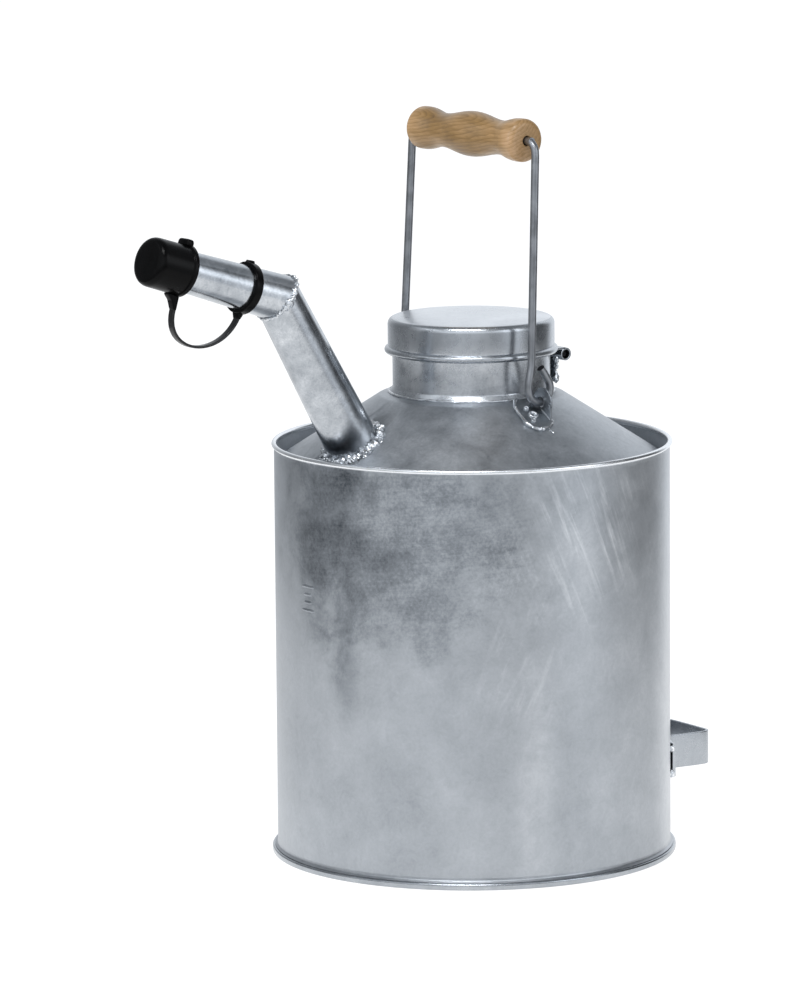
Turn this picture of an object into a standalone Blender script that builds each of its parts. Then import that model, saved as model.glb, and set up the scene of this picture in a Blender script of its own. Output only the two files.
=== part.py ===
"""Galvanised sheet-steel fuel can: hinged lid, angled spout with a tethered cap, bail and tipping handle.

Metres, +Z up. The origin is on the can's axis at floor level. The spout points to -X, the lid hinge
and the tipping handle are on the +X side, and the bail's ears are at -Y and +Y.
"""

import math

import bmesh
import bpy
from mathutils import Matrix, Vector

# Driving dimensions
GAP = 0.0003  # between pieces that touch
SHEET = 0.001
BODY_R = 0.130
BODY_TOP = 0.2738
RIM_BEAD = 0.0016
FOOT_R = 0.1338
FOOT_H = 0.0044
BASE_Z = 0.0025
SHOULDER_TAN = 0.6414  # rise of the shoulder over its run
SHOULDER_R = 0.1286
SHOULDER_Z = 0.2607
LEDGE_Z = 0.3062  # the shoulder rounds off to a flatter ledge round the neck
LEDGE_TAN = 0.22
NECK_R = 0.0517
NECK_TOP = 0.3512
LID_R = 0.0547
LID_BOTTOM = 0.3315
LID_TOP = 0.3556
LID_BEAD = 0.0022
HINGE = Vector((0.0625, 0.0, 0.3265))
HINGE_HALF = 0.0215
KNUCKLE_R = 0.00425
KNUCKLE_SPLIT = 0.0100
PIN_R = 0.0020
LEAF = 0.0014
SPOUT_FOOT_X = -0.0980
SPOUT_BEND = Vector((-0.1571, 0.0, 0.3813))
SPOUT_RISE = math.radians(17.7)
SPOUT_WALL = 0.0012
LOWER_R = (0.0177, 0.0153)
UPPER_R = (0.0153, 0.0127)
UPPER_LENGTH = 0.1035
CAP_MOUTH = 0.0777
CAP_LENGTH = 0.0293
CAP_R = 0.0160
CAP_WALL = 0.0020
FLANGE_R = 0.0174
RING_AT = 0.0277
RING_WIDTH = 0.0060
RING_WALL = 0.0020
STRAP_WIDTH = 0.0054
STRAP_THICK = 0.0018
WIRE_R = 0.0026
EYE = Vector((0.0027, 0.0680, 0.3143))
EYE_R = 0.0088
GRIP_AT = Vector((0.0030, 0.0, 0.4748))
GRIP_HALF = 0.0560
GRIP_R = (0.01485, 0.0114, 0.0141)  # middle swell, waists, ends
LEG_TOP_Y = 0.0648
GRIP_BORE = WIRE_R + GAP
LUG_X = 0.0035
LUG_THICK = 0.0015
LUG_R = 0.0095
LUG_AT = (0.0697, 0.3060)
LUG_HOLE_Z = 0.3056
LUG_HOLE_R = 0.0033
HANDLE_Z = 0.0450
HANDLE_TALL = 0.0224
HANDLE_THICK = 0.0020
HANDLE_CORNER = (0.1570, 0.0540)
HANDLE_BULGE = 0.0038
EAR_FOOT_R = 0.0578  # where the ears' feet start, from the can's axis
EAR_FOOT = [(-0.0100, 0.0578), (-0.0142, 0.0630), (-0.0150, 0.0755), (-0.0130, 0.0800), (-0.0085, 0.0828)]


def cone_height(radius):
    """Height of the shoulder's straight slope at a distance from the can's axis."""
    return SHOULDER_Z + (SHOULDER_R - radius) * SHOULDER_TAN


def shoulder_height(radius):
    """Height of the shoulder's upper surface, with its ledge round the neck."""
    return min(cone_height(radius), LEDGE_Z - (radius - NECK_R) * LEDGE_TAN)


SPOUT_FOOT = Vector((SPOUT_FOOT_X, 0.0, shoulder_height(-SPOUT_FOOT_X)))
SPOUT_LOWER_AXIS = (SPOUT_BEND - SPOUT_FOOT).normalized()
SPOUT_UPPER_AXIS = Vector((-math.cos(SPOUT_RISE), 0.0, math.sin(SPOUT_RISE)))
SPOUT_DOWN = Vector((-math.sin(SPOUT_RISE), 0.0, -math.cos(SPOUT_RISE)))
MITRE_NORMAL = (SPOUT_LOWER_AXIS + SPOUT_UPPER_AXIS).normalized()

PARTS = None
CUTTERS = None
MATERIALS = {}


def clear_scene():
    for obj in list(bpy.data.objects):
        bpy.data.objects.remove(obj, do_unlink=True)


def new_collection(name):
    collection = bpy.data.collections.new(name)
    bpy.context.scene.collection.children.link(collection)
    return collection


def make_material(name, color, metallic, roughness):
    material = bpy.data.materials.new(name)
    material.use_nodes = True
    shader = material.node_tree.nodes["Principled BSDF"]
    shader.inputs["Base Color"].default_value = (*color, 1.0)
    shader.inputs["Metallic"].default_value = metallic
    shader.inputs["Roughness"].default_value = roughness
    MATERIALS[name] = material


def add_object(name, data, material=None, collection=None):
    obj = bpy.data.objects.new(name, data)
    (collection or PARTS).objects.link(obj)
    if material:
        data.materials.append(MATERIALS[material])
    return obj


def as_cutter(obj):
    obj.hide_render = True
    obj.display_type = "WIRE"
    return obj


def smooth(obj):
    obj.data.shade_smooth()
    obj.data.set_sharp_from_angle(angle=math.radians(35))


def add_pivot(name, location):
    pivot = bpy.data.objects.new(name, None)
    pivot.location = location
    pivot.empty_display_size = 0.01
    PARTS.objects.link(pivot)
    return pivot


def attach(obj, pivot):
    obj.parent = pivot
    obj.matrix_parent_inverse = Matrix.Translation(-pivot.location)


def attach_placed(obj, pivot):
    """Parents an object whose matrix is already set, keeping its place."""
    placed = obj.matrix_world.copy()
    attach(obj, pivot)
    obj.matrix_basis = placed


def framed(origin, x_axis, y_axis):
    """The matrix that puts a shape's origin at a point and its X and Y along two unit vectors."""
    turn = Matrix((x_axis, y_axis, x_axis.cross(y_axis))).transposed().to_4x4()
    return Matrix.Translation(origin) @ turn


def arc(centre, radius, start, end, count):
    """Points on a circle in a plane, from one angle to another in degrees."""
    step = (end - start) / (count - 1)
    angles = [math.radians(start + step * i) for i in range(count)]
    return [(centre[0] + radius * math.cos(a), centre[1] + radius * math.sin(a)) for a in angles]


def turned(name, profile, steps, material=None, closed=False, collection=None):
    """A profile of (radius, height) points, listed top to bottom on its outer side, turned about Z."""
    mesh = bpy.data.meshes.new(name)
    count = len(profile)
    edges = [(i, i + 1) for i in range(count - 1)] + ([(count - 1, 0)] if closed else [])
    mesh.from_pydata([(r, 0.0, z) for r, z in profile], edges, [])
    obj = add_object(name, mesh, material, collection)
    screw = obj.modifiers.new("Turn", "SCREW")
    screw.steps = steps
    screw.render_steps = steps
    screw.use_merge_vertices = True
    screw.merge_threshold = 0.00001
    return obj


def thicken(obj, thickness, offset=-1.0):
    solidify = obj.modifiers.new("Sheet", "SOLIDIFY")
    solidify.thickness = thickness
    solidify.offset = offset
    solidify.use_even_offset = True
    return obj


def boolean(obj, other, operation="DIFFERENCE"):
    modifier = obj.modifiers.new(operation.title(), "BOOLEAN")
    modifier.operation = operation
    modifier.object = other
    return obj


def along(obj, start, direction):
    """Places a shape made about Z at a point, with its Z along a direction."""
    turn = direction.to_track_quat("Z", "Y").to_matrix().to_4x4()
    obj.matrix_world = Matrix.Translation(start) @ turn
    return obj


def cylinder(name, radius, start, end, segments=24, material=None, collection=None):
    mesh = bpy.data.meshes.new(name)
    shape = bmesh.new()
    axis = end - start
    bmesh.ops.create_cone(
        shape, cap_ends=True, segments=segments, radius1=radius, radius2=radius, depth=axis.length
    )
    bmesh.ops.translate(shape, verts=shape.verts, vec=(0.0, 0.0, axis.length / 2))
    shape.to_mesh(mesh)
    shape.free()
    obj = add_object(name, mesh, material, collection)
    return along(obj, start, axis.normalized())


def box(name, low, high, material=None, collection=None):
    mesh = bpy.data.meshes.new(name)
    shape = bmesh.new()
    bmesh.ops.create_cube(shape, size=1.0)
    size = Vector(high) - Vector(low)
    bmesh.ops.scale(shape, verts=shape.verts, vec=size)
    bmesh.ops.translate(shape, verts=shape.verts, vec=(Vector(low) + Vector(high)) / 2)
    shape.to_mesh(mesh)
    shape.free()
    return add_object(name, mesh, material, collection)


def half_space(name, point, normal):
    """A big block whose near face lies on a plane: it cuts everything on the normal's side."""
    size = 0.2
    block = box(name, (-size, -size, 0.0), (size, size, 2 * size), collection=CUTTERS)
    return as_cutter(along(block, point, normal))


def wire(name, points, radius, material, cyclic=False):
    curve = bpy.data.curves.new(name, "CURVE")
    curve.dimensions = "3D"
    curve.bevel_depth = radius
    curve.bevel_resolution = 2
    curve.use_fill_caps = True
    spline = curve.splines.new("POLY")
    spline.points.add(len(points) - 1)
    for point, place in zip(spline.points, points):
        point.co = (*place, 1.0)
    spline.use_cyclic_u = cyclic
    return add_object(name, curve, material)


def plate(name, outline, thickness, material=None, holes=(), collection=None):
    """A flat outline in XY, extruded to a solid about Z = 0 and turned into a mesh."""
    curve = bpy.data.curves.new(name, "CURVE")
    curve.dimensions = "2D"
    curve.fill_mode = "BOTH"
    curve.extrude = thickness / 2
    for loop in (outline, *holes):
        spline = curve.splines.new("POLY")
        spline.points.add(len(loop) - 1)
        for point, place in zip(spline.points, loop):
            point.co = (*place, 0.0, 1.0)
        spline.use_cyclic_u = True
    guide = add_object(name + "_outline", curve, collection=CUTTERS)
    graph = bpy.context.evaluated_depsgraph_get()
    mesh = bpy.data.meshes.new_from_object(guide.evaluated_get(graph))
    bpy.data.objects.remove(guide, do_unlink=True)
    shape = bmesh.new()
    shape.from_mesh(mesh)
    bmesh.ops.remove_doubles(shape, verts=shape.verts, dist=0.00001)
    bmesh.ops.recalc_face_normals(shape, faces=shape.faces)
    shape.to_mesh(mesh)
    shape.free()
    mesh.name = name
    mesh.materials.clear()
    return add_object(name, mesh, material, collection)


def ribbon(name, path, sweep, material):
    """An open strip: a chain of points swept along a vector, then given its thickness by Solidify."""
    mesh = bpy.data.meshes.new(name)
    shape = bmesh.new()
    verts = [shape.verts.new(point) for point in path]
    edges = [shape.edges.new(pair) for pair in zip(verts, verts[1:])]
    swept = bmesh.ops.extrude_edge_only(shape, edges=edges)["geom"]
    moved = [item for item in swept if isinstance(item, bmesh.types.BMVert)]
    bmesh.ops.translate(shape, verts=moved, vec=sweep)
    bmesh.ops.recalc_face_normals(shape, faces=shape.faces)
    shape.to_mesh(mesh)
    shape.free()
    return add_object(name, mesh, material)


def tube_radius(ends, part):
    return ends[0] + (ends[1] - ends[0]) * part


def make_body_shell():
    bead = (BODY_R, BODY_TOP - RIM_BEAD)
    rim = arc(bead, RIM_BEAD, 180, -60, 7)
    foot_top = FOOT_H + GAP
    inside = BODY_R - SHEET
    outer = rim + [(BODY_R, BODY_TOP - 2.4 * RIM_BEAD), (BODY_R, 0.0125)]
    outer += [(BODY_R + 0.0007, 0.0085), (BODY_R + 0.0022, foot_top)]
    inner = [(BODY_R + 0.0010, foot_top), (inside + 0.0004, 0.0085)]
    inner += [(inside, 0.0125), (inside, BODY_TOP - 2.4 * RIM_BEAD)]
    smooth(turned("body_shell", outer + inner, 56, "zinc", closed=True))


def make_foot_seam():
    """The folded seam under the wall, on which the can stands."""
    inside = BODY_R - SHEET
    outside = arc((FOOT_R - 0.0018, FOOT_H - 0.0018), 0.0018, 90, 0, 4)
    outside += arc((FOOT_R - 0.0014, 0.0014), 0.0014, 0, -90, 4)
    smooth(turned("foot_seam", outside + [(inside, 0.0), (inside, FOOT_H)], 56, "zinc", closed=True))


def make_base_plate():
    edge = BODY_R - SHEET - 0.0004
    profile = [(edge, 0.0140), (edge, BASE_Z + 0.0015), (edge - 0.0015, BASE_Z), (0.0, BASE_Z)]
    smooth(thicken(turned("base_plate", profile, 48, "zinc"), SHEET))


def make_side_seam():
    """The wall's lengthwise weld, on the far side from the spout and clear of the handle."""
    bottom, top, reach = 0.016, 0.2660, 0.0009
    angle = math.radians(62)
    seam = box("side_seam", (0.0, -0.0025, bottom), (reach, 0.0025, top), "zinc")
    seam.location = (BODY_R + GAP) * Vector((math.cos(angle), math.sin(angle), 0.0))
    seam.rotation_euler = (0.0, 0.0, angle)


def make_shoulder(bore):
    radii = (NECK_R + 0.0006, 0.0575, 0.0608, 0.0640)
    profile = [(radius, shoulder_height(radius)) for radius in radii]
    profile += [(SHOULDER_R, SHOULDER_Z), (SHOULDER_R, SHOULDER_Z - 0.009)]
    shoulder = thicken(turned("shoulder_cone", profile, 56, "zinc"), SHEET)
    smooth(boolean(shoulder, bore))


def make_neck():
    """The neck: a rolled bead at its mouth and a small flare at its foot."""
    foot = shoulder_height(NECK_R) + 2 * GAP
    bead = (NECK_R + 0.0002, NECK_TOP - 0.0011)
    profile = arc(bead, 0.0011, 180, 0, 5) + arc(bead, 0.0011, -30, -60, 2)
    profile += [(NECK_R, NECK_TOP - 0.0030), (NECK_R, foot + 0.0035)]
    profile += [(NECK_R + 0.0006, foot + 0.0012), (NECK_R + 0.0016, foot)]
    profile += [(NECK_R - SHEET, foot), (NECK_R - SHEET, NECK_TOP - 0.0030)]
    smooth(turned("neck_collar", profile, 44, "zinc", closed=True))


def make_neck_weld():
    """The bead that fills the corner between the neck and the shoulder."""
    centre_r = NECK_R + 0.0030
    bead = 0.0012
    centre_z = shoulder_height(centre_r) + bead / math.cos(math.atan(SHOULDER_TAN)) + GAP
    profile = arc((centre_r, centre_z), bead, 90, -210, 6)
    smooth(turned("neck_weld", profile, 44, "weld", closed=True))


def make_lid(pivot):
    corner = 0.0042
    bead_z = LID_BOTTOM + LID_BEAD
    profile = [(0.0, LID_TOP + 0.0014), (0.020, LID_TOP + 0.0012), (0.038, LID_TOP + 0.0006)]
    profile += arc((LID_R - corner, LID_TOP - corner), corner, 80, 0, 5)
    profile += [(LID_R, bead_z + LID_BEAD + 0.0004)]
    profile += arc((LID_R - 0.0001, bead_z), LID_BEAD, 60, -70, 5)
    lid = thicken(turned("lid", profile, 44, "zinc"), 0.0008)
    attach(lid, pivot)
    smooth(lid)


def knuckle(name, start, end):
    return as_cutter(cylinder(name, KNUCKLE_R, start, end, 24, collection=CUTTERS))


def hinge_bore():
    reach = Vector((0.0, HINGE_HALF + 0.002, 0.0))
    start, end = HINGE - reach, HINGE + reach
    return as_cutter(cylinder("cut_hinge_bore", PIN_R + GAP, start, end, 20, collection=CUTTERS))


def make_hinge_neck_leaf(bore):
    """The fixed leaf: a flat plate beside the neck, an arm and the middle knuckle."""
    plate_x = NECK_R + 0.0006
    split = KNUCKLE_SPLIT - GAP / 2
    leaf = box(
        "hinge_leaf_neck",
        (plate_x, -HINGE_HALF - 0.0008, 0.3092),
        (plate_x + LEAF, HINGE_HALF + 0.0008, HINGE.z - 0.0010),
        "zinc",
    )
    arm_z = HINGE.z - KNUCKLE_R
    low, high = (plate_x, -split, arm_z), (HINGE.x, split, arm_z + LEAF)
    side = Vector((0.0, split, 0.0))
    boolean(leaf, as_cutter(box("hinge_neck_arm", low, high, collection=CUTTERS)), "UNION")
    boolean(leaf, knuckle("hinge_neck_knuckle", HINGE - side, HINGE + side), "UNION")
    boolean(leaf, bore)


def make_hinge_lid_leaf(bore, pivot):
    """The moving leaf: a plate under the lid's bead with a knuckle at each end."""
    split = KNUCKLE_SPLIT + GAP / 2
    top = HINGE.z + KNUCKLE_R + 0.0003
    low, high = (0.0440, -HINGE_HALF, top - LEAF), (HINGE.x, HINGE_HALF, top)
    leaf = box("hinge_leaf_lid", low, high, "zinc")
    start, end = Vector((0.0, 0.0, top - 0.01)), Vector((0.0, 0.0, top + 0.01))
    inside = cylinder("cut_lid_leaf", LID_R - 0.0004, start, end, 56, collection=CUTTERS)
    boolean(leaf, as_cutter(inside))
    for name, sign in (("near", -1), ("far", 1)):
        start = HINGE + Vector((0.0, sign * split, 0.0))
        end = HINGE + Vector((0.0, sign * HINGE_HALF, 0.0))
        boolean(leaf, knuckle(f"hinge_lid_knuckle_{name}", start, end), "UNION")
    # The middle knuckle of the other leaf turns in this notch.
    notch = box(
        "cut_lid_leaf_notch",
        (HINGE.x - KNUCKLE_R - 0.0012, -split, HINGE.z - 0.01),
        (HINGE.x + 0.01, split, HINGE.z + 0.01),
        collection=CUTTERS,
    )
    boolean(leaf, as_cutter(notch))
    boolean(leaf, bore)
    attach(leaf, pivot)


def make_hinge_pin():
    reach = Vector((0.0, HINGE_HALF - 0.0012, 0.0))
    smooth(cylinder("hinge_pin", PIN_R, HINGE - reach, HINGE + reach, 20, "dark_steel"))


def spout_tube(name, start, direction, length, radii):
    """A tapered tube, open at both ends."""
    count = 5
    points = [(tube_radius(radii, i / (count - 1)), length * i / (count - 1)) for i in range(count)]
    tube = thicken(turned(name, points[::-1], 40, "zinc"), SPOUT_WALL)
    return along(tube, start, direction)


def make_spout():
    lower_length = (SPOUT_BEND - SPOUT_FOOT).length
    over = 0.030
    slope = (LOWER_R[1] - LOWER_R[0]) / lower_length
    below = SPOUT_FOOT - over * SPOUT_LOWER_AXIS
    radii = (LOWER_R[0] - over * slope, LOWER_R[1] + over * slope)
    lower = spout_tube("spout_lower_tube", below, SPOUT_LOWER_AXIS, lower_length + 2 * over, radii)
    lift = GAP / math.cos(math.atan(SHOULDER_TAN))
    under = [(0.0, LEDGE_Z), (0.0608, shoulder_height(0.0608)), (0.140, shoulder_height(0.140))]
    under += [(0.140, 0.1), (0.0, 0.1)]
    under = [(r, z + lift) for r, z in under]
    ground = as_cutter(turned("cut_under_shoulder", under, 64, collection=CUTTERS))
    boolean(lower, ground)
    boolean(lower, half_space("cut_mitre_lower", SPOUT_BEND - GAP / 2 * MITRE_NORMAL, MITRE_NORMAL))
    smooth(lower)
    slope = (UPPER_R[1] - UPPER_R[0]) / UPPER_LENGTH
    start = SPOUT_BEND - over * SPOUT_UPPER_AXIS
    radii = (UPPER_R[0] - over * slope, UPPER_R[1])
    upper = spout_tube("spout_upper_tube", start, SPOUT_UPPER_AXIS, UPPER_LENGTH + over, radii)
    boolean(upper, half_space("cut_mitre_upper", SPOUT_BEND + GAP / 2 * MITRE_NORMAL, -MITRE_NORMAL))
    smooth(upper)


def make_spout_bend_weld():
    """The bead round the mitred joint: an ellipse just outside the two tubes."""
    bead = 0.0013
    across = Vector((0.0, 1.0, 0.0))
    tall = MITRE_NORMAL.cross(across)
    radius = LOWER_R[1] + bead + 2 * GAP
    stretch = radius / MITRE_NORMAL.dot(SPOUT_UPPER_AXIS)
    points = []
    for i in range(32):
        angle = math.tau * i / 32
        aside, along_tall = radius * math.cos(angle), stretch * math.sin(angle)
        points.append(SPOUT_BEND + aside * across + along_tall * tall)
    wire("spout_bend_weld", points, bead, "weld", cyclic=True)


def make_spout_base_weld():
    """The fillet round the spout's foot: it follows the line where the tube meets the shoulder."""
    bead = 0.0021
    radius = LOWER_R[0] + bead + 3 * GAP
    lift = (bead + GAP) / math.cos(math.atan(SHOULDER_TAN))
    across = Vector((0.0, 1.0, 0.0))
    tall = SPOUT_LOWER_AXIS.cross(across)
    points = []
    for i in range(32):
        angle = math.tau * i / 32
        start = SPOUT_FOOT + radius * (math.cos(angle) * across + math.sin(angle) * tall)
        low, high = -0.05, 0.05
        for _ in range(30):
            middle = (low + high) / 2
            point = start + middle * SPOUT_LOWER_AXIS
            above = point.z > shoulder_height(math.hypot(point.x, point.y)) + lift
            low, high = (low, middle) if above else (middle, high)
        points.append(start + high * SPOUT_LOWER_AXIS)
    wire("spout_base_weld", points, bead, "weld", cyclic=True)


def upper_point(distance, down=0.0):
    """A point beside the upper tube: a distance from the bend, and down from its axis."""
    return SPOUT_BEND + distance * SPOUT_UPPER_AXIS + down * SPOUT_DOWN


def make_cap(pivot):
    """A push-on cup with a flanged mouth and a tab below it for the strap."""
    inner = CAP_R - CAP_WALL
    mouth = tube_radius(UPPER_R, CAP_MOUTH / UPPER_LENGTH) + GAP
    end = arc((CAP_R - 0.004, CAP_LENGTH - 0.004), 0.004, 90, 0, 5)
    depth = CAP_LENGTH - CAP_WALL - 0.0012
    outside = [(0.0, CAP_LENGTH)] + end + [(CAP_R, 0.0032), (FLANGE_R, 0.0026), (FLANGE_R, 0.0)]
    hollow = [(mouth, 0.0), (inner - 0.0004, depth), (0.0, depth)]
    cap = turned("spout_cap", outside + hollow, 40, "black_plastic")
    along(cap, upper_point(CAP_MOUTH), SPOUT_UPPER_AXIS)
    outline = [(0.0, 0.0), (0.0072, 0.0), (0.0014, 0.0095), (0.0, 0.0095)]
    tab = plate("cap_tab", outline, STRAP_WIDTH, collection=CUTTERS)
    start = upper_point(CAP_MOUTH, FLANGE_R - 0.0012)
    tab.matrix_world = framed(start, SPOUT_UPPER_AXIS, SPOUT_DOWN)
    boolean(cap, as_cutter(tab), "UNION")
    smooth(cap)
    attach_placed(cap, pivot)


def make_strap_ring():
    inner = tube_radius(UPPER_R, (RING_AT - RING_WIDTH) / UPPER_LENGTH) + GAP
    outer = inner + RING_WALL
    half = RING_WIDTH / 2
    profile = [(outer, half), (outer, -half), (inner, -half), (inner, half)]
    ring = turned("strap_ring", profile, 40, "black_plastic", closed=True)
    along(ring, upper_point(RING_AT), SPOUT_UPPER_AXIS)
    outline = [(-half, 0.0), (half, 0.0), (0.0010, 0.0040), (-0.0010, 0.0040)]
    tab = plate("ring_tab", outline, STRAP_WIDTH, collection=CUTTERS)
    tab.matrix_world = framed(upper_point(RING_AT, outer - 0.0008), SPOUT_UPPER_AXIS, SPOUT_DOWN)
    boolean(ring, as_cutter(tab), "UNION")
    smooth(ring)


def bezier(a, b, c, d, count):
    points = []
    for i in range(count):
        t = i / (count - 1)
        s = 1.0 - t
        points.append(s**3 * a + 3 * s * s * t * b + 3 * s * t * t * c + t**3 * d)
    return points


def make_cap_strap():
    """The tether: a flat strap that hangs in a loop from the cap's tab to the ring's tab."""
    start = upper_point(CAP_MOUTH + 0.0004, FLANGE_R + 0.0095)
    end = upper_point(RING_AT, tube_radius(UPPER_R, RING_AT / UPPER_LENGTH) + RING_WALL + 0.0048)
    first = start + 0.026 * SPOUT_DOWN
    last = end + 0.026 * (SPOUT_DOWN + 0.25 * SPOUT_UPPER_AXIS)
    points = bezier(start, first, last, end, 17)
    half = Vector((0.0, STRAP_WIDTH / 2, 0.0))
    strap = ribbon("cap_strap", [point - half for point in points], 2 * half, "black_plastic")
    thicken(strap, STRAP_THICK, 0.0)


def eye_path():
    """One leg's hooked end in its own XZ plane: cut end, round the eye, up to the leg's foot."""
    points = [(EYE.x + 0.0012, EYE.z + 0.0136)]
    points += arc((EYE.x, EYE.z), EYE_R, 32, -180, 15)
    points += [(EYE.x - 0.0088, EYE.z + 0.0035), (EYE.x - 0.0078, EYE.z + 0.0080)]
    return points


def make_bail_wire(pivot):
    """One wire: hooked end, leg, bend, the run through the grip, bend, leg and hooked end."""
    bend = 0.0080
    near = [Vector((x, -EYE.y, z)) for x, z in eye_path()]
    top = Vector((GRIP_AT.x, -LEG_TOP_Y, GRIP_AT.z))
    foot = Vector((EYE.x - 0.0063, -EYE.y + 0.0002, EYE.z + 0.0150))
    leg = (top - foot).normalized()
    near += [foot, foot + leg * 0.05, foot + leg * 0.10]
    corner = arc((-LEG_TOP_Y + bend, GRIP_AT.z - bend), bend, 180, 90, 6)
    lean = leg.x / leg.z
    near += [Vector((GRIP_AT.x - lean * (GRIP_AT.z - z), y, z)) for y, z in corner]
    far = [Vector((point.x, -point.y, point.z)) for point in reversed(near)]
    attach(wire("bail_wire", near + far, WIRE_R, "steel_wire"), pivot)


def ease(start, end, part):
    """Eases from one value to another as part goes from 0 to 1, and holds after that."""
    return start + (end - start) * (0.5 - 0.5 * math.cos(math.pi * min(part, 1.0)))


def make_grip(pivot):
    """A turned wooden roller: two waists between three swells, bored for the wire."""
    middle, waist, end = GRIP_R
    outline = []
    count = 16
    for i in range(count + 1):
        z = GRIP_HALF * (1.0 - 2.0 * i / count)
        part = abs(z) / GRIP_HALF
        if part > 0.93:
            radius = end - 0.0035
        elif part > 0.55:
            radius = ease(waist, end, (part - 0.55) / 0.30)
        else:
            radius = ease(middle, waist, part / 0.55)
        outline.append((radius, z))
    profile = outline + [(GRIP_BORE, -GRIP_HALF), (GRIP_BORE, GRIP_HALF)]
    grip = turned("grip", profile, 28, "beech", closed=True)
    grip.matrix_world = Matrix.Translation(GRIP_AT) @ Matrix.Rotation(math.radians(90), 4, "X")
    smooth(grip)
    attach_placed(grip, pivot)


def make_ear(name, side):
    """A sheet ear: a foot that lies on the shoulder and an upright lug with the hole for the bail."""
    slope = math.atan(SHOULDER_TAN)
    fold = LUG_X + LUG_THICK
    outline = EAR_FOOT + [(fold, 0.0790), (fold, EAR_FOOT_R)]
    foot = plate(name, [(x, (r - EAR_FOOT_R) / math.cos(slope)) for x, r in outline], LUG_THICK, "zinc")
    above = (LUG_THICK / 2 + GAP) / math.cos(slope)
    start = Vector((0.0, side * EAR_FOOT_R, cone_height(EAR_FOOT_R) + above))
    outward = Vector((0.0, side * math.cos(slope), -math.sin(slope)))
    foot.matrix_world = framed(start, Vector((1.0, 0.0, 0.0)), outward)
    lug = arc(LUG_AT, LUG_R, -25, 178, 16)
    lug += [(r, cone_height(r) + above) for r in (0.0606, 0.0775)]
    hole = arc((EYE.y, LUG_HOLE_Z), LUG_HOLE_R, 0, 345, 24)
    upright = plate(name + "_lug", lug, LUG_THICK, holes=[hole], collection=CUTTERS)
    middle = Vector((LUG_X + LUG_THICK / 2, 0.0, 0.0))
    upright.matrix_world = framed(middle, Vector((0.0, side, 0.0)), Vector((0.0, 0.0, 1.0)))
    boolean(foot, as_cutter(upright), "UNION")


def handle_path():
    """Half of the strap's centre line in plan, from a foot's free end to the middle of the span."""
    foot_r = BODY_R + HANDLE_THICK / 2 + GAP + 0.0004
    points = arc((0.0, 0.0), foot_r + 0.0016, 34.7, 34.0, 2)[:1] + arc((0.0, 0.0), foot_r, 31.0, 25.2, 3)
    points += [(0.1216, 0.0535), (0.1245, 0.0524)]
    x, y = HANDLE_CORNER
    points += [(x - 0.0050, y)] + arc((x - 0.0045, y - 0.0040), 0.0040, 70, 15, 3)
    for part in (0.66, 0.33, 0.0):
        points.append((x + HANDLE_BULGE * (1.0 - part * part), (y - 0.004) * part))
    return points


def make_tipping_handle():
    """A strap bent into a bow: two feet on the wall, two arms and a slightly arched span."""
    half = handle_path()
    path = half + [(x, -y) for x, y in reversed(half[:-1])]
    points = [Vector((x, y, HANDLE_Z)) for x, y in path]
    handle = ribbon("tipping_handle", points, Vector((0.0, 0.0, HANDLE_TALL)), "zinc")
    thicken(handle, HANDLE_THICK, 0.0)


def make_handle_welds():
    """A weld nugget above and below the free end of each of the handle's feet."""
    angle = math.radians(36.3)
    radius = BODY_R + 0.0016 + GAP
    heights = (("top", HANDLE_Z + HANDLE_TALL - 0.003), ("bottom", HANDLE_Z + 0.003))
    for side, sign in (("near", -1), ("far", 1)):
        for level, z in heights:
            mesh = bpy.data.meshes.new(f"handle_weld_{side}_{level}")
            shape = bmesh.new()
            bmesh.ops.create_uvsphere(shape, u_segments=10, v_segments=6, radius=0.0016)
            shape.to_mesh(mesh)
            shape.free()
            weld = add_object(mesh.name, mesh, "weld")
            weld.location = (radius * math.cos(angle), sign * radius * math.sin(angle), z)


def make_materials():
    make_material("zinc", (0.62, 0.65, 0.68), 0.9, 0.45)
    make_material("weld", (0.70, 0.72, 0.74), 1.0, 0.30)
    make_material("steel_wire", (0.42, 0.43, 0.45), 1.0, 0.40)
    make_material("dark_steel", (0.10, 0.10, 0.11), 0.8, 0.60)
    make_material("black_plastic", (0.012, 0.012, 0.013), 0.0, 0.35)
    make_material("beech", (0.60, 0.36, 0.18), 0.0, 0.55)


def main():
    global PARTS, CUTTERS
    clear_scene()
    PARTS = new_collection("fuel_can")
    CUTTERS = new_collection("cutters")
    make_materials()
    lid_axis = add_pivot("lid_axis", HINGE)
    bail_axis = add_pivot("bail_axis", (EYE.x, 0.0, EYE.z))
    cap_axis = add_pivot("cap_axis", upper_point(CAP_MOUTH))
    spout_bore = as_cutter(
        cylinder(
            "cut_spout_bore",
            LOWER_R[0] - SPOUT_WALL,
            SPOUT_FOOT - 0.06 * SPOUT_LOWER_AXIS,
            SPOUT_FOOT + 0.06 * SPOUT_LOWER_AXIS,
            40,
            collection=CUTTERS,
        )
    )
    make_body_shell()
    make_foot_seam()
    make_base_plate()
    make_side_seam()
    make_shoulder(spout_bore)
    make_neck()
    make_neck_weld()
    make_lid(lid_axis)
    bore = hinge_bore()
    make_hinge_neck_leaf(bore)
    make_hinge_lid_leaf(bore, lid_axis)
    make_hinge_pin()
    make_spout()
    make_spout_bend_weld()
    make_spout_base_weld()
    make_cap(cap_axis)
    make_strap_ring()
    make_cap_strap()
    make_bail_wire(bail_axis)
    make_grip(bail_axis)
    make_ear("ear_near", -1)
    make_ear("ear_far", 1)
    make_tipping_handle()
    make_handle_welds()


main()
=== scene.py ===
"""Looks of the galvanised fuel can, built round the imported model. Metres, in the model's own frame.

+Z is up, the spout points to -X, the lid's hinge and the tipping handle are on the +X side, and the
bail's ears are at -Y and +Y.
"""

import math

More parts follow.
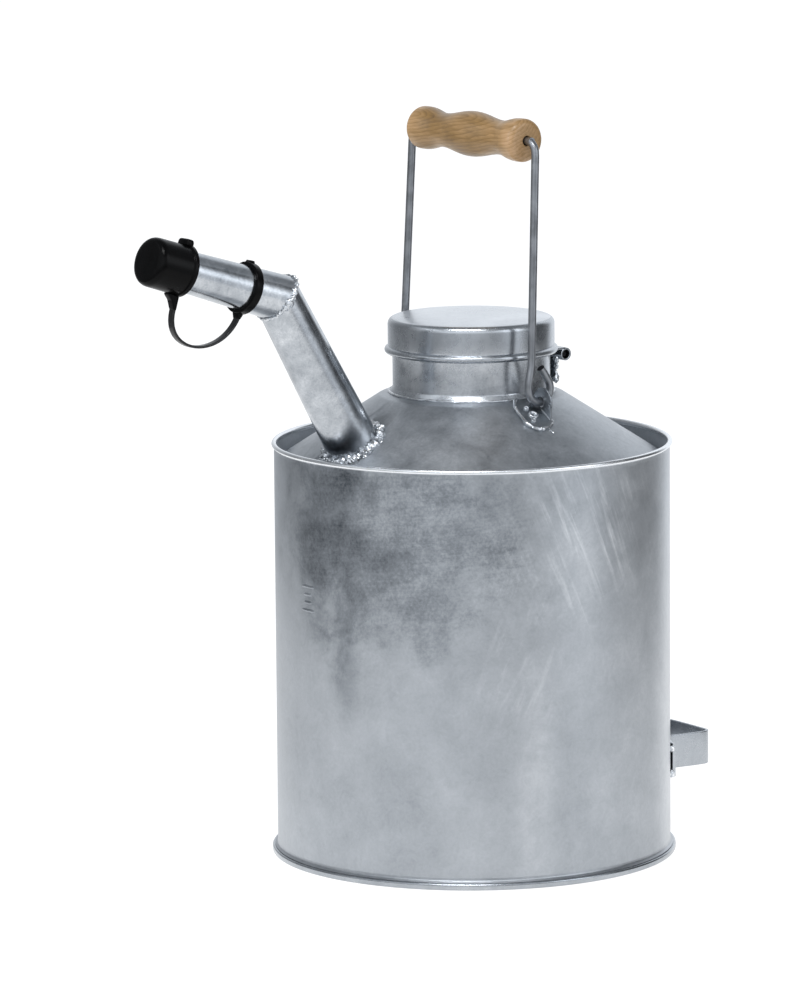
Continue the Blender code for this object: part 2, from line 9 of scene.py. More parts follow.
import bmesh
import bpy
from mathutils import Matrix, Vector, noise


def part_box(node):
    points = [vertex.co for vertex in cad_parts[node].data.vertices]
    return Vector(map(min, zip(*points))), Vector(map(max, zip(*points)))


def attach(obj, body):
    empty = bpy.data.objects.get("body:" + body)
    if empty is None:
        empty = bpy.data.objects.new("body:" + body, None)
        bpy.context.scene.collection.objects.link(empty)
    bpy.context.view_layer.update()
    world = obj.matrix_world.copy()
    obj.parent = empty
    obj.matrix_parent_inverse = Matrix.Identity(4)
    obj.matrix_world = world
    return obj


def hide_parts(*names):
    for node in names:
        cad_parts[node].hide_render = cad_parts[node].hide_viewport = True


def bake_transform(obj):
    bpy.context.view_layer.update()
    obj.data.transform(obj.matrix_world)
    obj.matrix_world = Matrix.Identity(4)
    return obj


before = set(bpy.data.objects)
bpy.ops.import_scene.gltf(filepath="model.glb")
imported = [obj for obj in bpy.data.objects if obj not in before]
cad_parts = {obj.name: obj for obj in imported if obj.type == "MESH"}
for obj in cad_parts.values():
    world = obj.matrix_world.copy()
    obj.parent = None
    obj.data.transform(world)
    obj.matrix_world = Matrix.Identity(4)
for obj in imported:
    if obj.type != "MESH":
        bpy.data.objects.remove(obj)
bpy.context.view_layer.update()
noise.seed_set(1)  # or noise_vector's offsets come from the clock

# Driving dimensions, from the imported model
X_AXIS, Y_AXIS, Z_AXIS = Vector((1, 0, 0)), Vector((0, 1, 0)), Vector((0, 0, 1))
SHEET = 0.001
LID_SHEET = 0.0008
WELD_LIFT = 0.0006  # how far a weld's middle is above the sheet it lies on
RIM_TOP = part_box("body_shell")[1].z
RIM_BEAD = 0.0016
FOOT_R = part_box("foot_seam")[1].x
FOOT_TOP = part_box("foot_seam")[1].z
WALL_R = FOOT_R - 0.0038
BASE_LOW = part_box("base_plate")[0].z
SHOULDER_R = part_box("shoulder_cone")[1].x
SHOULDER_Z = 0.2607
SHOULDER_TAN = 0.6414
LEDGE_Z = 0.3062
LEDGE_TAN = 0.22
NECK_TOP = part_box("neck_collar")[1].z
NECK_R = 0.0517
LID_LOW, LID_HIGH = (corner.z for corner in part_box("lid"))
LID_R = 0.0547
LID_BEAD = 0.0023
LID_CORNER = 0.0044
LID_TOP_DROP = 0.0018  # how far the lid's corner starts below the middle of its crown
HINGE = sum(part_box("hinge_pin"), Vector()) / 2
HINGE_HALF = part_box("hinge_leaf_lid")[1].y
KNUCKLE_R = 0.00425
KNUCKLE_BORE = 0.0030
KNUCKLE_SPLIT = 0.0100
KNUCKLE_GAP = 0.0003
HINGE_LEAF = 0.0014
PIN_R = 0.0020
SPOUT_FOOT = Vector((-0.0980, 0.0, 0.2803))
SPOUT_BEND = Vector((-0.1571, 0.0, 0.3813))
SPOUT_RISE = math.radians(17.7)
SPOUT_WALL = 0.0012
LOWER_R = (0.0177, 0.0153)
UPPER_R = (0.0153, 0.0127)
UPPER_LENGTH = 0.1035
CAP_MOUTH = 0.0777
CAP_LENGTH = 0.0293
CAP_R = 0.0160
CAP_FLOOR = 0.0032
CAP_SIDE = 0.0020
FLANGE_R = 0.0174
RING_AT = 0.0277
RING_HALF = 0.0030
STRAP_WIDTH = 0.0054
STRAP_THICK = 0.0018
WIRE_R = 0.0026
EYE = Vector((0.0027, 0.0680, 0.3143))
EYE_R = 0.0088
BAIL_BEND = 0.0080
GRIP_AT = sum(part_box("grip"), Vector()) / 2
GRIP_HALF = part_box("grip")[1].y
GRIP_ROUND = 0.0042
GRIP_WAIST_AT = 0.54  # of the grip's half length
GRIP_SWELL = 0.32  # from the waist to where the end is thickest, also of the half length
LEG_TOP_Y = 0.0648
LUG_X = 0.0035
LUG_THICK = 0.0015
LUG_R = 0.0093
LUG_HOLE_R = 0.0034
EAR_FIRST_R = 0.0578
HANDLE_LOW, HANDLE_HIGH = (corner.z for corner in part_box("tipping_handle"))
HANDLE_THICK = 0.0020
HANDLE_CORNER = (0.1580, 0.0556)
HANDLE_BEND = 0.0065
HANDLE_BULGE = 0.0026
HANDLE_FOOT_END = 35.2  # degrees from +X to the weld at the end of each of the handle's feet

LOWER_AXIS = (SPOUT_BEND - SPOUT_FOOT).normalized()
UPPER_AXIS = Vector((-math.cos(SPOUT_RISE), 0.0, math.sin(SPOUT_RISE)))
SPOUT_DOWN = Vector((-math.sin(SPOUT_RISE), 0.0, -math.cos(SPOUT_RISE)))
MITRE = (LOWER_AXIS + UPPER_AXIS).normalized()
SEAM_ANGLE = math.radians(62)  # where the wall's lengthwise weld is, round the can's axis
ROUND = 144  # steps round a turned piece
WIDE_ROUND = 192  # the same for the widest ones
SHARP_ANGLE = 38  # degrees between two faces from which their edge shows as sharp
WHITE = (1.0, 1.0, 1.0, 1.0)
CAMERA_SIDE = -128  # azimuth of the camera, seen from the can
LIT_POINT = Vector((0.0, 0.0, 0.22))

# Stops of the zinc's colour, from dull to bright
ZINC = [(0.0, (0.080, 0.090, 0.103)), (0.35, (0.262, 0.283, 0.308)), (0.60, (0.45, 0.475, 0.505)),
        (1.0, (0.85, 0.87, 0.895))]

# Brightness of the surround by azimuth, in degrees from the camera's side
SURROUND = ((-180, 1.05), (-160, 0.75), (-140, 0.42), (-118, 0.24), (-90, 0.24), (-66, 0.30), (-48, 0.36),
            (-30, 0.54), (-12, 0.60), (6, 0.54), (20, 0.40), (34, 0.36), (44, 0.56), (54, 0.92), (68, 0.92),
            (78, 0.34), (90, 0.10), (125, 0.10), (134, 0.55), (142, 1.20), (158, 1.05), (180, 1.05))


# Shapes: a shell is a pair of points and faces

def arc(centre, radius, start, end, count):
    """Points on a circle in a plane, from one angle to another in degrees."""
    angles = [math.radians(start + (end - start) * i / (count - 1)) for i in range(count)]
    return [(centre[0] + radius * math.cos(a), centre[1] + radius * math.sin(a)) for a in angles]


def circle(radius, count):
    return arc((0.0, 0.0), radius, 0, 360 - 360 / count, count)


def polar(radius, angle, z=0.0):
    """A point at a distance from the Z axis and an angle round it."""
    return Vector((radius * math.cos(angle), radius * math.sin(angle), z))


def mirrored(point):
    return Vector((point.x, -point.y, point.z))


def fillet(points, radius, steps=5, closed=True):
    """An outline with its corners rounded. A point may hold its own radius as a third number."""
    result = []
    for i, point in enumerate(points):
        corner = Vector(point[:2])
        before = Vector(points[i - 1][:2]) - corner
        after = Vector(points[(i + 1) % len(points)][:2]) - corner
        if (not closed and i in (0, len(points) - 1)) or before.angle(after) > 3.1:
            result.append(tuple(corner))
            continue
        own = point[2] if len(point) > 2 else radius
        cut = min(own / math.tan(before.angle(after) / 2), 0.48 * before.length, 0.48 * after.length)
        start, end = corner + cut * before.normalized(), corner + cut * after.normalized()
        for step in range(steps + 1):
            t = step / steps
            result.append(tuple((1 - t) ** 2 * start + 2 * t * (1 - t) * corner + t * t * end))
    return result


def rounded_bar(half_width, half_height, radius, steps):
    """A rectangle round the origin with its corners rounded."""
    w, h = half_width, half_height
    return fillet([(-w, -h), (w, -h), (w, h), (-w, h)], radius, steps)


def smooth_path(points, per_span=6, cyclic=False):
    """Points on a Catmull-Rom curve through the given ones."""
    count = len(points)
    spans = count if cyclic else count - 1
    result = []
    for i in range(spans):
        near = [k % count if cyclic else max(0, min(k, count - 1)) for k in range(i - 1, i + 3)]
        a, b, c, d = (points[k] for k in near)
        for step in range(per_span):
            t = step / per_span
            result.append(0.5 * (2 * b + (c - a) * t + (2 * a - 5 * b + 4 * c - d) * t * t
                                 + (3 * b - a - 3 * c + d) * t * t * t))
    return result if cyclic else result + [points[-1]]


def loft(rings, ring_closed=True, cyclic=False, capped=True):
    """Bridges rings of equally many points."""
    size, count = len(rings[0]), len(rings)
    verts = [point for ring in rings for point in ring]
    faces = []
    for i in range(count if cyclic else count - 1):
        first, second = i * size, (i + 1) % count * size
        for k in range(size if ring_closed else size - 1):
            after = (k + 1) % size
            faces.append((first + k, first + after, second + after, second + k))
    if capped and not cyclic:
        faces.append(tuple(range(size)))
        faces.append(tuple(range((count - 1) * size, count * size)))
    return verts, faces


def lathe(profile, steps=ROUND, closed=True):
    """A section of (radius, height) points turned about Z."""
    rings = []
    for i in range(steps):
        rings.append([polar(r, math.tau * i / steps, z) for r, z in profile])
    return loft(rings, ring_closed=closed, cyclic=True)


def sweep(path, section, up, cyclic=False, fixed=False, size=None):
    """Carries a section along a path. Its second axis starts along up, and stays there if fixed.

    size, called with a point's number and place, scales the section there.
    """
    rings, reference, count = [], up, len(path)
    for i, point in enumerate(path):
        before = path[i - 1] if i or cyclic else point
        after = path[(i + 1) % count] if i < count - 1 or cyclic else point
        tangent = (after - before).normalized()
        side = tangent.cross(reference).normalized()
        normal = side.cross(tangent)
        reference = up if fixed else normal
        scale = size(i, point) if size else 1.0
        rings.append([point + scale * (a * side + b * normal) for a, b in section])
    return loft(rings, cyclic=cyclic)


def placed(name, data):
    """A new object in the scene."""
    obj = bpy.data.objects.new(name, data)
    bpy.context.scene.collection.objects.link(obj)
    return obj


def evaluated(obj):
    """A new mesh of what an object's curve or modifiers make."""
    graph = bpy.context.evaluated_depsgraph_get()
    return bpy.data.meshes.new_from_object(obj.evaluated_get(graph))


def plate(outline, thickness, holes=(), edge=0.0004):
    """A flat outline in XY, with holes, a thickness about Z = 0 and rounded edges."""
    curve = bpy.data.curves.new("outline", "CURVE")
    curve.dimensions = "2D"
    curve.fill_mode = "BOTH"
    curve.extrude = thickness / 2 - edge
    curve.bevel_depth = edge
    curve.bevel_resolution = 2
    curve.offset = -edge
    for loop in (outline, *holes):
        spline = curve.splines.new("POLY")
        spline.points.add(len(loop) - 1)
        for point, place in zip(spline.points, loop):
            point.co = (*place[:2], 0.0, 1.0)
        spline.use_cyclic_u = True
    guide = placed("outline", curve)
    mesh = evaluated(guide)
    points = [vert.co.copy() for vert in mesh.vertices]
    faces = [tuple(face.vertices) for face in mesh.polygons]
    bpy.data.objects.remove(guide, do_unlink=True)
    bpy.data.curves.remove(curve)
    bpy.data.meshes.remove(mesh)
    return points, faces


def moved(shell, matrix):
    return [matrix @ Vector(point) for point in shell[0]], shell[1]


def framed(origin, x_axis, y_axis):
    """The matrix that puts a shape's origin at a point and its X and Y along two unit vectors."""
    turn = Matrix((x_axis, y_axis, x_axis.cross(y_axis))).transposed().to_4x4()
    return Matrix.Translation(origin) @ turn


def ball(centre, radius, squash=(1, 1, 1), seed=0, lumps=0.25):
    """A lumpy nugget of metal."""
    shape = bmesh.new()
    bmesh.ops.create_icosphere(shape, subdivisions=3, radius=1.0)
    verts = []
    for vert in shape.verts:
        swell = 1.0 + lumps * noise.noise(vert.co * 1.7 + Vector((seed, 3.1 * seed, 0.7)))
        verts.append(centre + radius * swell * Vector((a * b for a, b in zip(vert.co, squash))))
    faces = [tuple(vert.index for vert in face.verts) for face in shape.faces]
    shape.free()
    return verts, faces


def wandering(count, amount, layer, scale):
    """Angles round a circle, each with how far to stray there."""
    for i in range(count):
        angle = math.tau * i / count
        yield angle, amount * noise.noise(polar(1.0, angle, layer) * scale)


def bead(path, radius, seed, lumps=0.35, cyclic=True, sides=12):
    """A weld: a bar along a path, whose thickness, place and surface vary."""
    shift = Vector((seed, 1.7 * seed, 2.3 * seed))

    def size(_, point):
        swell = 1.0 + lumps * noise.noise(point * 260 + shift)
        return swell + 0.5 * lumps * noise.noise(point * 900 + shift)

    verts, faces = sweep(path, circle(radius, sides), Z_AXIS, cyclic=cyclic, size=size)
    rough = radius * lumps * 0.8
    return [point + rough * noise.noise_vector(point * 700 + shift) for point in verts], faces


def build(name, shells, material, replaces=(), body="can"):
    """One object from its shells, smooth but for sharp edges, that replaces nodes and rides on a body."""
    shape = bmesh.new()
    for points, faces in shells:
        verts = [shape.verts.new(point) for point in points]
        for face in faces:
            shape.faces.new([verts[i] for i in face])
    bmesh.ops.remove_doubles(shape, verts=shape.verts, dist=1e-6)
    bmesh.ops.dissolve_degenerate(shape, edges=shape.edges, dist=1e-7)
    bmesh.ops.recalc_face_normals(shape, faces=shape.faces)
    mesh = bpy.data.meshes.new(name)
    shape.to_mesh(mesh)
    shape.free()
    mesh.shade_smooth()
    mesh.set_sharp_from_angle(angle=math.radians(SHARP_ANGLE))
    mesh.materials.append(material)
    obj = placed(name, mesh)
    if replaces:
        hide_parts(*replaces)
    if body:
        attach(obj, body)
    return obj


# Materials

def add(tree, kind, inputs=None, **settings):
    """A shader node with its settings, and its inputs linked or set."""
    node = tree.nodes.new("ShaderNode" + kind)
    for key, value in settings.items():
        setattr(node, key, value)
    for key, value in (inputs or {}).items():
        if isinstance(value, bpy.types.NodeSocket):
            tree.links.new(value, node.inputs[key])
        else:
            node.inputs[key].default_value = value
    return node


def output(tree, kind, inputs=None, **settings):
    """The first output of a new shader node."""
    return add(tree, kind, inputs, **settings).outputs[0]


def maths(tree, operation, a, b=0.0, c=0.0):
    return output(tree, "Math", {0: a, 1: b, 2: c}, operation=operation)


def product(tree, a, b):
    return maths(tree, "MULTIPLY", a, b)


def hypotenuse(tree, a, b):
    return maths(tree, "SQRT", maths(tree, "ADD", product(tree, a, a), product(tree, b, b)))


def split(tree, vector):
    return add(tree, "SeparateXYZ", {0: vector}).outputs


def cloud(tree, vector, scale, detail=4.0, roughness=0.55, distortion=0.0):
    """Noise as a number round 0, from about -0.5 to 0.5."""
    inputs = {"Vector": vector, "Scale": scale, "Detail": detail, "Roughness": roughness,
              "Distortion": distortion}
    return maths(tree, "SUBTRACT", output(tree, "TexNoise", inputs), 0.5)


def stretched(tree, vector, scale=(1, 1, 1), turn=(0, 0, 0), location=(0, 0, 0)):
    """A vector scaled, then turned, then moved."""
    inputs = {"Vector": vector, "Scale": scale, "Rotation": turn, "Location": location}
    return output(tree, "Mapping", inputs)


def remap(tree, value, low, high, smooth=False):
    """0 at low and 1 at high, and no further outside them."""
    inputs = {"Value": value, 1: low, 2: high, 3: 0.0, 4: 1.0}
    kind = "SMOOTHSTEP" if smooth else "LINEAR"
    return output(tree, "MapRange", inputs, interpolation_type=kind)


def ramp(tree, value, stops):
    """The colour that a value from 0 to 1 has between the stops, which are (place, colour)."""
    node = add(tree, "ValToRGB", {0: value})
    elements = node.color_ramp.elements
    while len(elements) < len(stops):
        elements.new(0.5)
    for element, (place, color) in zip(elements, stops):
        element.position = place
        element.color = (*color, 1.0)
    return node.outputs[0]


def weighted(tree, base, *terms):
    """base plus each value times its weight."""
    total = base
    for value, weight in terms:
        total = maths(tree, "MULTIPLY_ADD", value, weight, total)
    return total


def new_material(name, metallic):
    """A material, its tree, its shader and the place on the object as a socket."""
    material = bpy.data.materials.new(name)
    material.use_nodes = True
    tree = material.node_tree
    shader = tree.nodes["Principled BSDF"]
    shader.inputs["Metallic"].default_value = metallic
    return material, tree, shader, add(tree, "TexCoord").outputs["Object"]


def dress(tree, shader, color, rough, height, strength, distance):
    """Links a shader's colour, its roughness and a bump from a height."""
    normal = output(tree, "Bump", {"Height": height, "Strength": strength, "Distance": distance})
    for value, socket in ((color, "Base Color"), (rough, "Roughness"), (normal, "Normal")):
        tree.links.new(value, shader.inputs[socket])


def round_the_can(tree, place):
    """(arc length from the line opposite the lengthwise weld, height) as sockets."""
    parts = split(tree, stretched(tree, place, turn=(0, 0, math.pi - SEAM_ANGLE)))
    return product(tree, maths(tree, "ARCTAN2", parts[1], parts[0]), WALL_R), parts[2]


def brush(tree, flat, lean, scale):
    """Noise drawn out along a line that leans from the vertical, in degrees: towards +X if below 0."""
    turned_flat = stretched(tree, flat, turn=(0, 0, math.radians(lean)))
    return cloud(tree, stretched(tree, turned_flat, (*scale, 1)), 1.0, 5.0, 0.65, 0.3)


def frost(tree, vector, scale, distortion):
    """Fine feathery lines, as zinc crystals leave: up to 1 on them, and falling below 0 away from them."""
    value = cloud(tree, vector, scale, 8.0, 0.7, distortion)
    return maths(tree, "SUBTRACT", 1.0, product(tree, maths(tree, "ABSOLUTE", value), 7.0))


def zinc(name, tone, contrast, roughness, scale=1.0, grain=0.05, wall=False):
    """Hot-dip galvanised sheet: clouds, fine grain and feathery crystals. The wall has its own marks."""
    material, tree, shader, place = new_material(name, 1.0)
    large = cloud(tree, place, 11 * scale, 3.0, 0.5, 0.8)
    middle = cloud(tree, place, 44 * scale, 8.0, 0.70, 0.3)
    fine = cloud(tree, place, 520 * scale, 4.0, 0.65)
    lines = remap(tree, frost(tree, place, 70 * scale, 1.0), 0.0, 1.0)
    value = weighted(tree, tone, (large, 0.55 * contrast), (middle, 0.42 * contrast),
                     (fine, 0.20 * contrast), (lines, 0.06 * contrast))
    rough = weighted(tree, roughness, (middle, 0.25), (large, 0.12))
    if wall:
        value = wall_marks(tree, place, value, middle, fine)
    dress(tree, shader, ramp(tree, value, ZINC), rough,
          weighted(tree, middle, (fine, 0.35), (lines, 0.04)), grain, 0.0012)
    return material


def wall_marks(tree, place, value, middle, fine):
    """The wall's own pattern: dark, grainy clouds on one side, brushed streaks and a lighter run down it;
    also a painted reflection, a lighter band up the wall between the tipping handle and the near ear, and a
    faint painted shade towards the bottom.
    """
    across, height = round_the_can(tree, place)
    flat = output(tree, "CombineXYZ", {0: across, 1: height})
    ragged = cloud(tree, flat, 26, 6.0, 0.6, 0.6)

    def patch(centre, size, amount):
        """A soft oval with a ragged edge: 1 at its middle and 0 outside."""
        x, y = (maths(tree, "DIVIDE", maths(tree, "SUBTRACT", value, middle), half)
                for value, middle, half in zip((across, height), centre, size))
        far = maths(tree, "MULTIPLY_ADD", ragged, amount, hypotenuse(tree, x, y))
        return remap(tree, far, 1.0, 0.15, smooth=True)

    dark = patch((-0.128, 0.245), (0.052, 0.115), 1.3)
    wide = patch((-0.075, 0.235), (0.130, 0.110), 1.5)
    drip = patch((-0.112, 0.150), (0.016, 0.060), 0.9)
    streaks = remap(tree, brush(tree, flat, -23, (150, 9)), 0.0, 0.20)
    brushed = remap(tree, brush(tree, flat, 24, (120, 16)), 0.0, 0.25)
    scratched = brush(tree, flat, 84, (420, 26))
    upper = patch((0.060, 0.235), (0.075, 0.080), 1.2)
    swirl = patch((0.005, 0.160), (0.045, 0.090), 1.2)
    run = patch((0.018, 0.060), (0.022, 0.120), 0.7)
    # Painted shade: the wall drawn slightly darker towards the bottom.
    low = remap(tree, height, 0.17, 0.02, smooth=True)
    # Painted reflection: a lighter band up the whole wall between the tipping handle and the near ear.
    painted_edge_sheen = patch((0.165, 0.130), (0.050, 0.300), 0.5)
    return weighted(tree, value, (painted_edge_sheen, 0.22), (dark, -0.22), (wide, -0.21), (drip, -0.15), (low, -0.02),
                    (product(tree, streaks, upper), 0.26), (product(tree, brushed, swirl), 0.16),
                    (upper, 0.05), (run, 0.10), (product(tree, middle, wide), 0.50),
                    (product(tree, fine, wide), 0.35), (product(tree, scratched, wide), 0.24))


def plain_metal(name, color, roughness, grain, along):
    """Wire or pin: drawn metal with faint dark patches and lengthwise scratches."""
    material, tree, shader, place = new_material(name, 1.0)
    patches = cloud(tree, place, 70, 5.0, 0.6, 0.5)
    scratches = cloud(tree, stretched(tree, place, along), 300, 3.0, 0.6)
    value = weighted(tree, 0.5, (patches, 0.9), (scratches, 0.6))
    dark = tuple(c * 0.45 for c in color)
    light = tuple(min(1.0, c * 1.5) for c in color)
    stops = [(0.1, dark), (0.5, color), (0.95, light)]
    dress(tree, shader, ramp(tree, value, stops), weighted(tree, roughness, (patches, 0.3)),
          weighted(tree, scratches, (patches, 0.6)), grain, 0.0006)
    return material


def black_plastic(name, tone, gloss):
    """Soft moulded plastic: near black, faintly pebbled, with slightly greyer scuffs."""
    material, tree, shader, place = new_material(name, 0.0)
    pebbles = cloud(tree, place, 900, 2.0, 0.5)
    scuffs = cloud(tree, place, 90, 6.0, 0.7, 1.0)
    stops = [(0.0, (0.15 * tone,) * 3), (1.0, (tone, tone, 1.1 * tone))]
    dress(tree, shader, ramp(tree, weighted(tree, 0.35, (scuffs, 0.9)), stops),
          weighted(tree, 0.24, (scuffs, 0.30)), weighted(tree, pebbles, (scuffs, 0.4)), 0.06, 0.0005)
    shader.inputs["Specular IOR Level"].default_value = gloss
    return material


def wood():
    """Turned beech with growth rings off its axis, fine pores along it, and a thin varnish."""
    rings_per_metre, bend = 420.0, 0.009
    material, tree, shader, place = new_material("beech", 0.0)
    local = stretched(tree, place, location=-GRIP_AT)
    inputs = {"Vector": stretched(tree, local, (1, 0.35, 1)), "Scale": 55.0, "Detail": 3.0}
    drift = add(tree, "TexNoise", inputs).outputs["Color"]
    bent = output(tree, "VectorMath", {0: drift, 1: (0.5,) * 3}, operation="SUBTRACT")
    bent = output(tree, "VectorMath", {0: bent, 1: (bend,) * 3, 2: local}, operation="MULTIPLY_ADD")
    parts = split(tree, stretched(tree, bent, turn=(0.16, 0, 0.05), location=(0.013, 0.0, -0.019)))
    far = hypotenuse(tree, parts[0], parts[2])
    ring = maths(tree, "POWER", maths(tree, "FRACT", product(tree, far, rings_per_metre)), 2.5)
    pores = cloud(tree, stretched(tree, local, (1, 0.05, 1)), 1600, 2.0, 0.5)
    fibre = cloud(tree, stretched(tree, local, (1, 0.04, 1)), 420, 4.0, 0.6)
    blotch = cloud(tree, local, 40, 3.0, 0.5)
    ends = remap(tree, maths(tree, "ABSOLUTE", split(tree, local)[1]), 0.038, 0.052, smooth=True)
    value = weighted(tree, 0.42, (ring, 0.23), (fibre, 0.50), (blotch, 0.85), (pores, 0.25),
                     (ends, -0.22))
    stops = [(0.0, (0.46, 0.285, 0.150)), (0.22, (0.35, 0.208, 0.085)), (0.50, (0.225, 0.128, 0.038)),
             (1.0, (0.075, 0.036, 0.011))]
    dress(tree, shader, ramp(tree, value, stops), weighted(tree, 0.42, (fibre, 0.3)),
          weighted(tree, pores, (ring, 0.4), (fibre, 0.6)), 0.16, 0.0004)
    shader.inputs["Coat Weight"].default_value = 0.25
    shader.inputs["Coat Roughness"].default_value = 0.30
    return material


# Sheet-metal pieces

def cone_height(radius):
    return SHOULDER_Z + (SHOULDER_R - radius) * SHOULDER_TAN


def shoulder_height(radius):
    return min(cone_height(radius), LEDGE_Z - (radius - NECK_R) * LEDGE_TAN)


def paint_faces(obj, material, chosen):
    """Gives the faces that chosen(face) picks a second material."""
    obj.data.materials.append(material)
    for face in obj.data.polygons:
        if chosen(face):
            face.material_index = 1


def make_wall(material, rim):
    inside = WALL_R - SHEET
    section = arc((WALL_R, RIM_TOP - RIM_BEAD), RIM_BEAD, 200, -62, 16)
    section += fillet([(WALL_R + 0.0001, RIM_TOP - 2.2 * RIM_BEAD), (WALL_R, RIM_TOP - 3.5 * RIM_BEAD),
                       (WALL_R, 0.0076), (WALL_R + 0.0003, 0.0059), (WALL_R + 0.0019, FOOT_TOP + 0.0003)],
                      0.0015, closed=False)
    section += [(WALL_R + 0.0008, FOOT_TOP + 0.0003), (inside + 0.0002, 0.0062), (inside, 0.0084)]
    section += [(inside, RIM_TOP - 3 * RIM_BEAD), (inside + 0.0001, RIM_TOP - 2.2 * RIM_BEAD)]
    obj = build("wall", [lathe(section, WIDE_ROUND)], material, ["body_shell"])
    # The rim bead is drawn in the much lighter zinc: a painted highlight.
    paint_faces(obj, rim, lambda face: face.center.z > RIM_TOP - 2.3 * RIM_BEAD)


def make_level_marks(material):
    """Plain raised ticks on the wall, where a can of this kind shows its level."""
    def size(i, _):
        return math.sqrt(max(0.02, 1.0 - abs(i / 5.0 - 1.0) ** 6))

    middle = math.pi + SEAM_ANGLE - 0.148 / WALL_R
    section = [(0.0006 * b, 0.0010 * a) for a, b in circle(1.0, 12)]
    bars = []
    for z, width in ((0.1890, 0.0150), (0.1838, 0.0090), (0.1786, 0.0090), (0.1734, 0.0150)):
        start = middle - width / 2 / WALL_R
        path = [polar(WALL_R, start + width / WALL_R * i / 10, z) for i in range(11)]
        bars.append(sweep(path, section, Z_AXIS, fixed=True, size=size))
    build("level_marks", bars, material)


def make_foot(material, base):
    inside = WALL_R - SHEET
    section = arc((FOOT_R - 0.0016, FOOT_TOP - 0.0014), 0.0014, 100, 0, 8)
    section += arc((FOOT_R - 0.0017, 0.0015), 0.0015, -5, -90, 8)
    section += [(inside + 0.0014, 0.0), (inside, 0.0012), (inside, FOOT_TOP - 0.0005)]
    section += [(inside + 0.0006, FOOT_TOP)]
    build("foot_bead", [lathe(section, WIDE_ROUND)], material, ["foot_seam"])
    edge, flange_top = inside - 0.0004, 0.0140
    steps = ((edge, 0.0030, 0.003), (0.112, 0.0028, 0.002), (0.108, 0.0050, 0.003), (0.070, 0.0050, 0.003),
             (0.066, 0.0066, 0.003), (0.0, 0.0066, 0.0))
    top = [(edge, flange_top)] + [(r, BASE_LOW + z, own) for r, z, own in steps]
    outline = fillet(top, 0.002, closed=False)
    under = [(max(0.0, r - 0.0002), z - SHEET) for r, z in outline[::-1]]
    under[-1] = (edge - SHEET, flange_top)
    build("base", [lathe(outline + under, 96, closed=False)], base, ["base_plate"])


def make_side_seam(material):
    """The wall's lengthwise weld: a low, rippled strip."""
    def size(_, point):
        return 1.0 + 0.10 * math.sin(point.z * 2100) + 0.12 * noise.noise(point * 300)

    low, high = (corner.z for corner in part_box("side_seam"))
    outward = polar(1.0, SEAM_ANGLE)
    path = [outward * (WALL_R + 0.0001) + Z_AXIS * (low + (high - low) * i / 300) for i in range(301)]
    section = [(0.0026 * a, 0.0007 * b) for a, b in circle(1.0, 16)]
    weld = sweep(path, section, outward, fixed=True, size=size)
    build("side_weld", [weld], material, ["side_seam"])


def make_shoulder(material):
    """The ledge, the cone and its edge in the wall, with the spout's hole cut through."""
    first, ledge_end, hem = NECK_R + 0.0006, 0.0608, SHOULDER_Z - 0.009
    top = [(first, shoulder_height(first)), (ledge_end, shoulder_height(ledge_end), 0.006)]
    top += [(SHOULDER_R, SHOULDER_Z, 0.0012), (SHOULDER_R, hem)]
    outline = fillet(top, 0.002, closed=False)
    lower = [(r - 0.0006, z - 0.0011) for r, z in outline[::-1]]
    lower[0] = (SHOULDER_R - SHEET, hem)
    lower[-1] = (first, lower[-1][1])
    obj = build("shoulder", [lathe(outline + lower, WIDE_ROUND)], material, ["shoulder_cone"])
    ends = [SPOUT_FOOT + reach * LOWER_AXIS for reach in (-0.05, 0.05)]
    bore = sweep(ends, circle(LOWER_R[0] - SPOUT_WALL, 48), Y_AXIS)
    cutter = build("bore", [bore], material, body=None)
    modifier = obj.modifiers.new("bore", "BOOLEAN")
    modifier.operation = "DIFFERENCE"
    modifier.object = cutter
    mesh = evaluated(obj)
    obj.modifiers.clear()
    obj.data = mesh
    bpy.data.objects.remove(cutter, do_unlink=True)


def make_neck(material, weld):
    foot = shoulder_height(NECK_R) + WELD_LIFT
    inside = NECK_R - SHEET
    section = arc((NECK_R + 0.0002, NECK_TOP - 0.0011), 0.0011, 200, -60, 12)
    section += fillet([(NECK_R, NECK_TOP - 0.0032), (NECK_R, foot + 0.0030, 0.002),
                       (NECK_R + 0.0020, foot - 0.0002)], 0.001, closed=False)
    section += [(inside, foot - 0.0010), (inside, NECK_TOP - 0.0030)]
    build("neck", [lathe(section)], material, ["neck_collar"])
    radius = NECK_R + 0.0022
    path = [polar(radius + stray, angle, shoulder_height(radius) + WELD_LIFT)
            for angle, stray in wandering(420, 0.0004, 0.0, 9)]
    build("neck_bead", [bead(path, 0.0009, 4.0, 0.30, sides=10)], weld, ["neck_weld"])


